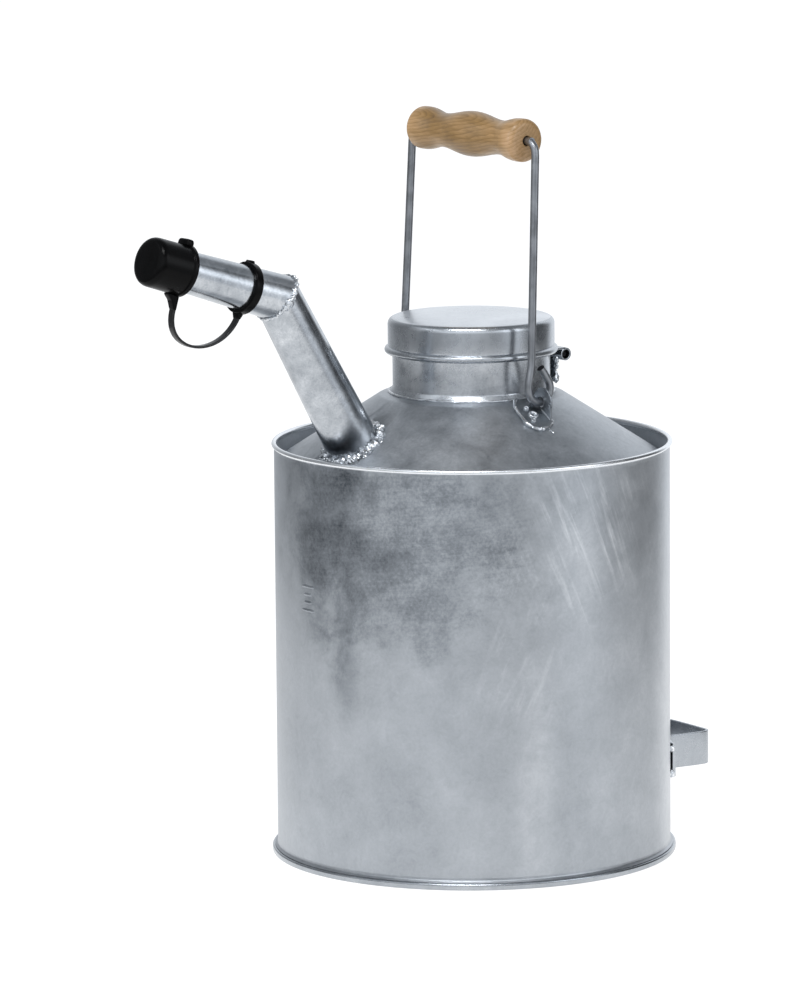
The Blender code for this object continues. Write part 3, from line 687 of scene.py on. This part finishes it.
def make_lid(material, top):
    """The lid's side with its rolled bead, and its slightly crowned top in a lighter zinc of its own:
    painted light, the top drawn lighter where it faces the light above.
    """
    corner_r = LID_R - LID_CORNER
    inside = LID_R - LID_SHEET
    crown = [(0.0, LID_HIGH), (0.014, LID_HIGH - 0.0001), (0.030, LID_HIGH - 0.0005)]
    crown.append((0.042, LID_HIGH - 0.0012))
    corner = arc((corner_r, LID_HIGH - LID_TOP_DROP - LID_CORNER), LID_CORNER, 84, 0, 10)
    middle = LID_LOW + LID_BEAD
    side = [(LID_R, middle + 1.6 * LID_BEAD), (LID_R - 0.0002, middle + LID_BEAD * 1.15)]
    rolled = arc((LID_R - 0.0001, middle), LID_BEAD, 62, -95, 12)
    inner = [(inside, LID_LOW + 0.0003), (inside, LID_HIGH - 0.0058)]
    inner += [(corner_r - 0.0006, LID_HIGH - 0.0028)]
    inner += [(r, z - LID_SHEET) for r, z in (crown[3], crown[2], crown[0])]
    shell = lathe(crown + corner + side + rolled + inner, closed=False)
    obj = build("lid_shell", [shell], material, ["lid"], body="lid")

    def on_top(face):
        x, y, z = face.center
        return z > LID_HIGH - 0.0022 and face.normal.z > 0.5 and math.hypot(x, y) < corner[3][0]

    # The crown is drawn in a lighter zinc than the side: painted light, where the top faces the light above.
    paint_faces(obj, top, on_top)


def knuckle(start, end):
    """A rolled tube along the hinge line."""
    section = [(KNUCKLE_R, start), (KNUCKLE_R, end), (KNUCKLE_BORE, end), (KNUCKLE_BORE, start)]
    return moved(lathe(fillet(section, 0.0004, 3), 40), framed(HINGE, Z_AXIS, X_AXIS))


def block(low, high):
    """A flat bar with rounded edges between two corners, thin along its shortest side."""
    size = Vector(high) - Vector(low)
    centre = (Vector(high) + Vector(low)) / 2
    thin = min(range(3), key=lambda k: size[k])
    wide, tall = [k for k in range(3) if k != thin]
    axes = (X_AXIS, Y_AXIS, Z_AXIS)
    outline = rounded_bar(size[wide] / 2, size[tall] / 2, 0.0008, 3)
    return moved(plate(outline, size[thin]), framed(centre, axes[wide], axes[tall]))


def make_hinge(material, weld, dark):
    low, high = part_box("hinge_leaf_neck")
    plate_x = NECK_R + 0.0006
    weld_x = plate_x + 0.0006
    inner = KNUCKLE_SPLIT - KNUCKLE_GAP
    under = HINGE.z - KNUCKLE_R
    shells = [block((plate_x, low.y, 0.3092), (plate_x + HINGE_LEAF, high.y, HINGE.z - 0.0010)),
              block((plate_x, -inner, under), (HINGE.x, inner, under + HINGE_LEAF)), knuckle(-inner, inner)]
    build("neck_leaf", shells, material, ["hinge_leaf_neck"])
    blobs = []
    for y, z, radius, seed in ((low.y, 0.3232, 0.0017, 1), (low.y - 0.0004, 0.3196, 0.0014, 2),
                               (low.y, 0.3150, 0.0011, 3), (low.y + 0.0001, 0.3118, 0.0019, 4),
                               (high.y, 0.3222, 0.0017, 5), (high.y + 0.0003, 0.3180, 0.0013, 6),
                               (high.y, 0.3120, 0.0018, 7)):
        spot = Vector((weld_x, y + math.copysign(0.0005, y), z))
        blobs.append(ball(spot, 1.25 * radius, (0.8, 0.9, 1.2), seed, 0.5))
    edge = [Vector((weld_x, low.y, 0.3100 + 0.0006 * i)) for i in range(24)]
    for line, seed in ((edge, 3.0), ([mirrored(point) for point in edge], 5.0)):
        blobs.append(bead(line, 0.0008, seed, 0.7, cyclic=False))
    build("hinge_weld", blobs, weld)
    top = HINGE.z + KNUCKLE_R + KNUCKLE_GAP
    shells = []
    for sign in (-1, 1):
        near, far = sorted((sign * (KNUCKLE_SPLIT + KNUCKLE_GAP), sign * HINGE_HALF))
        shells += [knuckle(near, far), block((0.0470, near, top - HINGE_LEAF), (HINGE.x, far, top))]
    build("lid_leaf", shells, material, ["hinge_leaf_lid"], body="lid")
    reach = HINGE_HALF - 0.0022
    section = [(0.0, reach), (PIN_R, reach, 0.0006), (PIN_R, -reach, 0.0006), (0.0, -reach)]
    pin = lathe(fillet(section, 0.0, closed=False), 32, closed=False)
    # The pin is near black: painted shade, so the knuckles' open ends read as a dark hollow.
    build("pin", [moved(pin, framed(HINGE, Z_AXIS, X_AXIS))], dark, ["hinge_pin"])


# The spout

def around(axis, angle):
    """The unit vector at an angle round a spout axis, which lies in the XZ plane."""
    tall = axis.cross(Y_AXIS)
    return math.cos(angle) * Y_AXIS + math.sin(angle) * tall


def above_shoulder(start, axis, lift):
    """How far from a point along an axis the shoulder's surface is, with a lift over it."""
    low, high = -0.06, 0.06
    for _ in range(26):
        middle = (low + high) / 2
        point = start + middle * axis
        out = point.z > shoulder_height(math.hypot(point.x, point.y)) + lift
        low, high = (low, middle) if out else (middle, high)
    return high


def to_mitre(start, along):
    """How far it is along a line to the plane in which the two tubes meet."""
    return (SPOUT_BEND - start).dot(MITRE) / along.dot(MITRE)


def tube(origin, axis, radii, length, ends):
    """A tapered tube of sheet. Each line along it runs between the two distances that ends() gives."""
    slope = (radii[1] - radii[0]) / length
    sides, spans = 96, 14
    rings = []
    for k in range(sides):
        out = around(axis, math.tau * k / sides)
        ring = []
        for radius in (radii[0], radii[0] - SPOUT_WALL):
            start = origin + radius * out
            along = axis + slope * out
            low, high = ends(start, along)
            line = [start + (low + (high - low) * i / spans) * along for i in range(spans + 1)]
            ring += line if radius == radii[0] else line[::-1]
        rings.append(ring)
    return loft(rings, cyclic=True)


def make_spout(material):
    def lower_ends(start, along):
        return above_shoulder(start, LOWER_AXIS, 0.0003), to_mitre(start, along)

    def upper_ends(start, along):
        return to_mitre(start, along), UPPER_LENGTH - 0.0002

    lower = tube(SPOUT_FOOT, LOWER_AXIS, LOWER_R, (SPOUT_BEND - SPOUT_FOOT).length, lower_ends)
    build("spout_lower", [lower], material, ["spout_lower_tube"])
    upper = tube(SPOUT_BEND, UPPER_AXIS, UPPER_R, UPPER_LENGTH, upper_ends)
    build("spout_upper", [upper], material, ["spout_upper_tube"])


def make_bend_weld(material):
    """The weld round the mitre: a thin bead, with nuggets on one side."""
    tall = MITRE.cross(Y_AXIS)
    radius = LOWER_R[1] + 0.0004
    stretch = radius / MITRE.dot(UPPER_AXIS)

    def on_mitre(angle):
        return SPOUT_BEND + radius * math.cos(angle) * Y_AXIS + stretch * math.sin(angle) * tall

    path = [on_mitre(angle) + stray * MITRE for angle, stray in wandering(220, 0.0011, 0.3, 7)]
    nuggets = [bead(path, 0.0010, 7.0, 0.75)]
    for angle, size, seed in ((171, 0.0028, 1), (186, 0.0018, 2), (158, 0.0020, 3), (207, 0.0012, 4),
                              (143, 0.0012, 5)):
        nuggets.append(ball(on_mitre(math.radians(angle)), size, (1.1, 0.6, 1.0), seed, 0.5))
    build("bend_weld", nuggets, material, ["spout_bend_weld"])


def make_foot_weld(material):
    """The weld round the spout's foot: a thick bead with a ragged ring of nuggets outside it."""
    def on_shoulder(reach, angle, lift):
        start = SPOUT_FOOT + reach * around(LOWER_AXIS, angle)
        return start + above_shoulder(start, LOWER_AXIS, lift) * LOWER_AXIS

    radius, ring_count = LOWER_R[0] + 0.0016, 34
    path = [on_shoulder(radius + stray, angle, 0.0009) for angle, stray in wandering(300, 0.0014, 1.7, 6)]
    nuggets = [bead(path, 0.0021, 2.0, 0.75, sides=14)]
    for k in range(ring_count):
        angle = math.tau * (k + 0.4 * noise.noise(Vector((k * 1.3, 0.2, 0.7)))) / ring_count
        grow = noise.noise(Vector((k * 2.1, 5.0, 1.0)))
        reach = radius + 0.0012 + 0.0022 * noise.noise(Vector((k * 0.9, 8.0, 2.0)))
        spot = on_shoulder(reach, angle, 0.0004)
        nuggets.append(ball(spot, 0.0024 + 0.0015 * grow, (1.1, 1.1, 0.75), k, 0.6))
    build("foot_weld", nuggets, material, ["spout_base_weld"])


# The cap and its tether

def upper_point(distance, down=0.0):
    """A point on the upper tube's axis, or straight below or above it."""
    return SPOUT_BEND + distance * UPPER_AXIS + down * SPOUT_DOWN


def on_upper(shell, distance):
    """Puts a shell made about Z on the upper tube, with its Z towards the mouth."""
    return moved(shell, framed(upper_point(distance), SPOUT_DOWN, -Y_AXIS))


def upper_radius(distance):
    return UPPER_R[0] + (UPPER_R[1] - UPPER_R[0]) * distance / UPPER_LENGTH


def tab(outline, thickness, distance, down):
    """A small tab beside the upper tube, flat across Y, outlined by (along the tube, away from it)."""
    place = framed(upper_point(distance, down), UPPER_AXIS, SPOUT_DOWN)
    return moved(plate(outline, thickness, edge=0.0006), place)


def make_cap(material):
    mouth = upper_radius(CAP_MOUTH) + 0.0003
    inner, depth = CAP_R - CAP_SIDE, CAP_LENGTH - CAP_FLOOR
    outside = [(0.0, CAP_LENGTH), (CAP_R, CAP_LENGTH, 0.0056), (CAP_R + 0.0002, 0.0036, 0.0006)]
    outside += [(FLANGE_R, 0.0030, 0.0008), (FLANGE_R, 0.0, 0.0008), (mouth, 0.0, 0.0004)]
    outside += [(inner - 0.0004, depth, 0.001), (0.0, depth)]
    shells = [on_upper(lathe(fillet(outside, 0.001, 6, closed=False), 96, closed=False), CAP_MOUTH)]
    below = [(-0.0002, 0.0), (0.0100, 0.0), (0.0050, 0.0042), (0.0017, 0.0098), (-0.0004, 0.0098)]
    shells.append(tab(fillet(below, 0.0014, 5), STRAP_WIDTH, CAP_MOUTH, FLANGE_R - 0.0014))
    above = [(-0.0060, 0.0022), (-0.0056, -0.0030), (0.0056, -0.0030), (0.0060, 0.0022)]
    top = framed(upper_point(CAP_MOUTH + 0.0028, -FLANGE_R + 0.0002), -Y_AXIS, SPOUT_DOWN)
    shells.append(moved(plate(fillet(above, 0.0032, 6), 0.0054, edge=0.0014), top))
    build("cap", shells, material, ["spout_cap"], "cap")


def make_ring(material):
    half, inner = RING_HALF, upper_radius(RING_AT)
    outer = inner + 0.0024
    section = [(outer, half, 0.0014), (outer, -half, 0.0014), (inner, -half), (inner, half)]
    shells = [on_upper(lathe(fillet(section, 0.0003, 6), 96), RING_AT)]
    below = [(-half, 0.0), (half, 0.0), (0.0011, 0.0044), (-0.0011, 0.0044)]
    shells.append(tab(fillet(below, 0.0010, 4), STRAP_WIDTH, RING_AT, outer - 0.0010))
    above = [(-0.0022, 0.0), (0.0022, 0.0), (0.0012, -0.0016), (-0.0012, -0.0016)]
    shells.append(tab(fillet(above, 0.0006, 4), 0.0060, RING_AT, -outer + 0.0004))
    build("tether_ring", shells, material, ["strap_ring"])


def make_strap(material):
    """The tether: a flat strap on a Bezier curve that hangs between the cap's tab and the ring's."""
    pull = 0.0290
    start = upper_point(CAP_MOUTH + 0.0007, FLANGE_R + 0.0082)
    end = upper_point(RING_AT, upper_radius(RING_AT) + 0.0056)
    first = start + pull * SPOUT_DOWN
    last = end + pull * (SPOUT_DOWN + 0.25 * UPPER_AXIS)
    path = []
    for i in range(49):
        t = i / 48
        s = 1.0 - t
        path.append(s**3 * start + 3 * s * s * t * first + 3 * s * t * t * last + t**3 * end)
    section = rounded_bar(STRAP_THICK / 2, STRAP_WIDTH / 2, 0.0008, 4)
    shell = sweep(path, section, Y_AXIS, fixed=True)
    strap = build("tether", [shell], material, ["cap_strap"], None)
    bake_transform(strap)


# The bail

def make_bail(material, cut):
    """One wire: a hooked eye, a leaning leg and the bar through the grip, then the same mirrored."""
    eye = [(EYE.x + 0.0012, EYE.z + 0.0136), (EYE.x + 0.0046, EYE.z + 0.0092)]
    eye += arc((EYE.x, EYE.z), EYE_R, 28, -180, 18)
    eye += [(EYE.x - 0.0088, EYE.z + 0.0035), (EYE.x - 0.0078, EYE.z + 0.0085)]
    near = [Vector((x, -EYE.y, z)) for x, z in eye]
    top = Vector((GRIP_AT.x, -LEG_TOP_Y, GRIP_AT.z))
    foot = Vector((EYE.x - 0.0063, -EYE.y + 0.0002, EYE.z + 0.0155))
    leg = (top - foot).normalized()
    near += [foot] + [foot + leg * reach for reach in (0.01, 0.03, 0.06, 0.09, 0.12, 0.135)]
    corner = arc((-LEG_TOP_Y + BAIL_BEND, GRIP_AT.z - BAIL_BEND), BAIL_BEND, 180, 90, 9)
    lean = leg.x / leg.z
    near += [Vector((GRIP_AT.x - lean * (GRIP_AT.z - z), y, z)) for y, z in corner]
    far = [mirrored(point) for point in reversed(near)]
    path = smooth_path(near + [Vector((GRIP_AT.x, 0.0, GRIP_AT.z))] + far, 4)
    shell = sweep(path, circle(WIRE_R, 20), Y_AXIS)
    obj = build("bail", [shell], material, ["bail_wire"], "bail")
    paint_faces(obj, cut, lambda face: len(face.vertices) > 4)


def make_grip(material):
    """A turned roller: two waists between three swells, with rounded ends and a drilled hole."""
    def wave(part):
        return 0.5 - 0.5 * math.cos(math.pi * part)

    middle, waist, end, hole = 0.01485, 0.0112, 0.0141, 0.0032
    outline = []
    count = 72
    for i in range(count + 1):
        z = (GRIP_HALF - GRIP_ROUND) * (1.0 - 2.0 * i / count)
        part = abs(z) / GRIP_HALF
        if part > GRIP_WAIST_AT:
            radius = waist + (end - waist) * wave(min((part - GRIP_WAIST_AT) / GRIP_SWELL, 1.0))
        else:
            radius = middle + (waist - middle) * wave(part / GRIP_WAIST_AT)
        outline.append((radius, z))
    top = arc((end - GRIP_ROUND, GRIP_HALF - GRIP_ROUND), GRIP_ROUND, 90, 8, 8)
    bottom = [(r, -z) for r, z in reversed(top)]
    faces = [(hole + 0.0004, GRIP_HALF), (hole, GRIP_HALF - 0.0004)]
    profile = faces[::-1] + top + outline + bottom + [(r, -z) for r, z in faces]
    shell = moved(lathe(profile, 72), framed(GRIP_AT, Z_AXIS, X_AXIS))
    build("wooden_grip", [shell], material, ["grip"], "grip")


def make_ear(name, side, node, material, weld, mark):
    """A sheet ear: its foot lies on the shoulder with zinc run round its edge, and its lug stands up."""
    slope = math.atan(SHOULDER_TAN)
    fold = LUG_X + LUG_THICK
    outline = [(-0.0092, 0.0580), (-0.0140, 0.0640), (-0.0152, 0.0760), (-0.0128, 0.0808),
               (-0.0080, 0.0832), (-0.0010, 0.0822), (fold, 0.0794), (fold, 0.0580)]
    local = fillet([(x, (r - EAR_FIRST_R) / math.cos(slope)) for x, r in outline], 0.003, 5)
    lift = (LUG_THICK / 2 + 0.0002) / math.cos(slope)
    outward = Vector((0.0, side * math.cos(slope), -math.sin(slope)))
    lay = framed(Vector((0.0, side * EAR_FIRST_R, cone_height(EAR_FIRST_R) + lift)), X_AXIS, outward)
    shells = [moved(plate(local, LUG_THICK, edge=0.0005), lay)]
    top = arc((0.0697, 0.3060), LUG_R, -25, 178, 28)
    top += [(r, cone_height(r) + lift - 0.0003) for r in (0.0606, 0.0780)]
    hole = arc((EYE.y, 0.3056), LUG_HOLE_R, 0, 350, 36)
    stand = framed(Vector((LUG_X + LUG_THICK / 2, 0.0, 0.0)), Vector((0.0, side, 0.0)), Z_AXIS)
    shells.append(moved(plate(top, LUG_THICK, [hole], edge=0.0005), stand))
    bend = [Vector((LUG_X + 0.0004, side * r, cone_height(r) + lift + 0.0004))
            for r in (0.0600, 0.0660, 0.0720, 0.0782)]
    shells.append(sweep(bend, circle(0.0010, 12), Z_AXIS))
    build(name, shells, material, [node])
    rim = smooth_path([lay @ Vector((x, y, -side * 0.0004)) for x, y in local], 3, cyclic=True)
    trim = [bead(rim, 0.0012, 6.0 + side, 0.50, sides=10)]
    drip = [(-0.0010 + 0.0001 * i, side * (0.0824 + 0.0006 * i)) for i in range(8)]
    drip = [Vector((x, y, shoulder_height(math.hypot(x, y)) + 0.0001)) for x, y in drip]
    trim.append(bead(smooth_path(drip, 4), 0.0006, 9.0, 0.5, cyclic=False, sides=8))
    build(name + "_zinc", trim, weld)
    dimples = []
    for x, r, size in ((-0.0060, 0.0722, 0.0034), (-0.0074, 0.0664, 0.0019), (-0.0096, 0.0768, 0.0017)):
        spot = lay @ Vector((x, (r - EAR_FIRST_R) / math.cos(slope), side * LUG_THICK / 2))
        section = [(size, -0.0003), (size, 0.0011, 0.0006), (size * 0.6, 0.0011, 0.0006)]
        dimple = lathe(fillet(section + [(size * 0.45, -0.0003)], 0.0002, 4), 32)
        dimples.append(moved(dimple, framed(spot, side * X_AXIS, outward)))
    # The dimples are drawn in the much lighter zinc: a painted highlight.
    build(name + "_dimples", dimples, mark)


# The tipping handle

def handle_path():
    """Half of the handle from above: its foot on the wall, its leg, its corner and half its hand bar."""
    foot_r = WALL_R + HANDLE_THICK / 2 + 0.0007
    points = arc((0.0, 0.0), foot_r + 0.0014, 34.6, 34.0, 2)[:1] + arc((0.0, 0.0), foot_r, 32.0, 25.6, 4)
    points += [(0.1208, 0.0540), (0.1245, 0.0526)]
    x, y = HANDLE_CORNER
    points += [(x - 0.0180, y - 0.0008), (x - 0.0095, y)]
    points += arc((x - HANDLE_BEND, y - HANDLE_BEND), HANDLE_BEND, 82, 12, 6)
    for part in (0.75, 0.5, 0.25, 0.0):
        points.append((x + HANDLE_BULGE * (1.0 - part * part), (y - 0.007) * part))
    return points


def make_handle(material, weld):
    """The bent strap, and the weld at the end of each foot: a thin bead with nuggets at its ends."""
    tall = HANDLE_HIGH - HANDLE_LOW
    middle = (HANDLE_LOW + HANDLE_HIGH) / 2
    half = [Vector((x, y, middle)) for x, y in handle_path()]
    path = smooth_path(half + [mirrored(point) for point in reversed(half[:-1])], 5)
    section = rounded_bar(HANDLE_THICK / 2, tall / 2, 0.0007, 4)
    build("strap_handle", [sweep(path, section, Z_AXIS, fixed=True)], material, ["tipping_handle"])
    end, nugget_end = math.radians(HANDLE_FOOT_END), math.radians(HANDLE_FOOT_END + 0.4)
    nuggets = []
    for side in (-1, 1):
        run = [polar(WALL_R + 0.0011, side * end, HANDLE_LOW + tall * i / 39) for i in range(40)]
        nuggets.append(bead(run, 0.0008, 3.0 + side, 0.5, cyclic=False))
        for z, size in ((HANDLE_HIGH - 0.0030, 0.0020), (HANDLE_LOW + 0.0022, 0.0024),
                        (HANDLE_LOW + 0.0042, 0.0014)):
            spot = polar(WALL_R + 0.0014, side * nugget_end, z)
            nuggets.append(ball(spot, size, (0.8, 0.8, 1.0), z * 900, 0.5))
    nodes = [f"handle_weld_{row}_{spot}" for row in ("near", "far") for spot in ("top", "bottom")]
    build("handle_weld", nuggets, weld, nodes)


# The studio

def make_floor():
    """A plain white floor that stays white where no shadow falls."""
    material, _, shader, _ = new_material("floor", 0.0)
    for socket, value in (("Base Color", (0.25, 0.25, 0.25, 1.0)), ("Roughness", 0.9),
                          ("Emission Color", WHITE), ("Emission Strength", 0.88)):
        shader.inputs[socket].default_value = value
    bpy.ops.mesh.primitive_plane_add(size=80)
    floor = bpy.context.object
    floor.name = "floor"
    floor.data.materials.append(material)


def direction(azimuth, elevation):
    """The unit vector at an azimuth round +Z and an elevation, in degrees."""
    rise = math.radians(elevation)
    return polar(math.cos(rise), math.radians(azimuth), math.sin(rise))


def make_world():
    """White behind the can, and soft broad cards of light and shade all round for the metal to reflect."""
    world = bpy.data.worlds.new("studio")
    bpy.context.scene.world = world
    world.use_nodes = True
    tree = world.node_tree
    tree.nodes.clear()
    way = add(tree, "TexCoord").outputs["Generated"]
    total = 0.36  # the light from everywhere, to which each card adds its own
    # Azimuth, elevation, the cosines at its edge and its core, and strength
    cards = ((CAMERA_SIDE + 180, 5, 0.62, 0.95, 0.75), (CAMERA_SIDE - 75, 15, 0.72, 0.98, 1.30),
             (CAMERA_SIDE + 80, 20, 0.80, 0.98, 0.20), (CAMERA_SIDE - 20, 60, 0.90, 0.99, 0.35),
             (CAMERA_SIDE + 10, 90, 0.55, 1.0, -0.12))
    for azimuth, elevation, edge, core, strength in cards:
        inputs = {0: way, 1: direction(azimuth, elevation)}
        near = add(tree, "VectorMath", inputs, operation="DOT_PRODUCT").outputs["Value"]
        glow = remap(tree, near, edge, core, smooth=True)
        total = maths(tree, "MULTIPLY_ADD", glow, strength, total)
    tint = output(tree, "VectorMath", {0: (0.95, 1.0, 1.06), "Scale": total}, operation="SCALE")
    reflected, plain = (output(tree, "Background", {"Color": c, "Strength": 1.0}) for c in (tint, WHITE))
    seen = add(tree, "LightPath").outputs["Is Camera Ray"]
    both = output(tree, "MixShader", {0: seen, 1: reflected, 2: plain})
    add(tree, "OutputWorld", {"Surface": both})


def make_surround():
    """A ring of soft light and shade round the can, which only reflections see."""
    material = bpy.data.materials.new("surround")
    material.use_nodes = True
    tree = material.node_tree
    tree.nodes.clear()
    place = add(tree, "TexCoord").outputs["Object"]
    parts = split(tree, stretched(tree, place, turn=(0, 0, math.radians(-CAMERA_SIDE))))
    angle = maths(tree, "ARCTAN2", parts[1], parts[0])
    stops = [((a + 180) / 360, (0.96 * v, v, 1.05 * v)) for a, v in SURROUND]
    glow = ramp(tree, maths(tree, "MULTIPLY_ADD", angle, 1 / math.tau, 0.5), stops)
    high = product(tree, remap(tree, parts[2], 0.28, 0.60, smooth=True),
                   remap(tree, parts[0], 0.0, 0.4, smooth=True))
    strength = maths(tree, "MULTIPLY_ADD", high, 1.4, 1.0)
    add(tree, "OutputMaterial", {"Surface": output(tree, "Emission", {"Color": glow, "Strength": strength})})
    rings = [[Vector((x, y, z)) for x, y in circle(1.0, 96)] for z in (0.01, 1.1)]
    obj = build("surround", [loft(rings, capped=False)], material, body=None)
    obj.visible_camera = obj.visible_diffuse = obj.visible_shadow = False


def make_light(name, azimuth, elevation, distance, size, power):
    """A rectangular light that faces the middle of the can."""
    light = bpy.data.lights.new(name, "AREA")
    light.shape = "RECTANGLE"
    light.size, light.size_y = size
    light.energy = power
    obj = placed(name, light)
    away = direction(azimuth, elevation)
    obj.location = LIT_POINT + distance * away
    obj.rotation_mode = "QUATERNION"
    obj.rotation_quaternion = away.to_track_quat("Z", "Y")


def make_camera():
    """A long lens between the spout's side and the near ear's, a little above the can."""
    yaw, pitch, roll = (math.radians(a) for a in (-0.677, -9.429, -0.464))
    turn = Matrix.Rotation(math.radians(-38), 3, "Z")
    forward = Vector((math.sin(yaw) * math.cos(pitch), math.cos(yaw) * math.cos(pitch), math.sin(pitch)))
    right = Vector((math.cos(yaw), -math.sin(yaw), 0.0))
    up = right.cross(forward)
    tilted = math.cos(roll) * right + math.sin(roll) * up
    upright = -math.sin(roll) * right + math.cos(roll) * up
    axes = Matrix([turn @ tilted, turn @ upright, turn @ -forward]).transposed()
    camera = placed("camera", bpy.data.cameras.new("camera"))
    camera.data.sensor_width = 36.0
    camera.data.lens = 242.8
    camera.data.clip_end = 100.0
    camera.matrix_world = Matrix.Translation(turn @ Vector((0.0, -4.37558, 0.96007))) @ axes.to_4x4()
    bpy.context.scene.camera = camera


def main():
    make_camera()
    make_world()
    make_floor()
    make_surround()
    make_light("overhead", CAMERA_SIDE - 10, 62, 2.6, (1.2, 0.5), 26)
    make_light("left", CAMERA_SIDE - 62, 25, 2.8, (0.9, 1.6), 18)
    make_light("right", CAMERA_SIDE + 66, 26, 3.0, (0.4, 1.2), 7)
    bpy.context.scene.view_settings.view_transform = "Standard"

    # Tone, contrast, roughness, scale and grain
    wall = zinc("zinc_wall", 0.54, 0.62, 0.40, wall=True)
    shoulder = zinc("zinc_shoulder", 0.49, 1.05, 0.40)
    bright = zinc("zinc_bright", 0.57, 0.50, 0.27, 1.4, 0.03)
    neck = zinc("zinc_neck", 0.51, 1.25, 0.27, 1.7, 0.04)
    ear = zinc("zinc_ear", 0.33, 0.90, 0.30, 2.0)
    spout = zinc("zinc_tube", 0.50, 1.30, 0.19, 2.1)
    # Painted highlight: a much lighter copy of the zinc, for the bright line along the wall's rim bead, and
    # on the hinge's and the handle's welds and the ears' dimples.
    rim = zinc("zinc_rim_painted_highlight", 0.93, 0.50, 0.24, 1.4)
    foot = zinc("zinc_foot", 0.52, 0.60, 0.24, 1.4)
    # Painted light: the lid's crown in a lighter copy of the zinc than its side.
    lid_top_painted_light = zinc("zinc_lid_top", 0.74, 0.8, 0.30, 1.4)
    # Lighter zinc for the welds, the neck's bead and the runs round the ears: partly their own colour,
    # partly a painted highlight for their glints.
    rough = zinc("zinc_run_and_highlight", 0.74, 0.9, 0.24, 3.0, 0.25)
    base = zinc("zinc_base", 0.52, 0.9, 0.42)
    wire = plain_metal("wire", (0.255, 0.266, 0.284), 0.36, 0.05, (1, 1, 0.1))
    # Near-black steel: painted shade on the pin in the knuckles' bore, and the bail's cut ends drawn black.
    dark = plain_metal("dark_steel", (0.02, 0.02, 0.022), 0.6, 0.1, (1, 1, 1))
    plastic = black_plastic("black_plastic", 0.004, 0.08)
    # A lighter copy of the black plastic: its grey is a painted sheen on the tether.
    strap_plastic_sheen = black_plastic("strap_plastic_sheen", 0.030, 0.30)

    make_wall(wall, rim)
    make_level_marks(wall)
    make_foot(foot, base)
    make_side_seam(neck)
    make_shoulder(shoulder)
    make_neck(neck, rough)
    make_lid(bright, lid_top_painted_light)
    make_hinge(bright, rim, dark)
    make_spout(spout)
    make_bend_weld(rough)
    make_foot_weld(rough)
    make_cap(plastic)
    make_ring(plastic)
    make_strap(strap_plastic_sheen)
    make_bail(wire, dark)
    make_grip(wood())
    make_ear("near_ear", -1, "ear_near", ear, rough, rim)
    make_ear("far_ear", 1, "ear_far", ear, rough, rim)
    make_handle(bright, rim)


main()
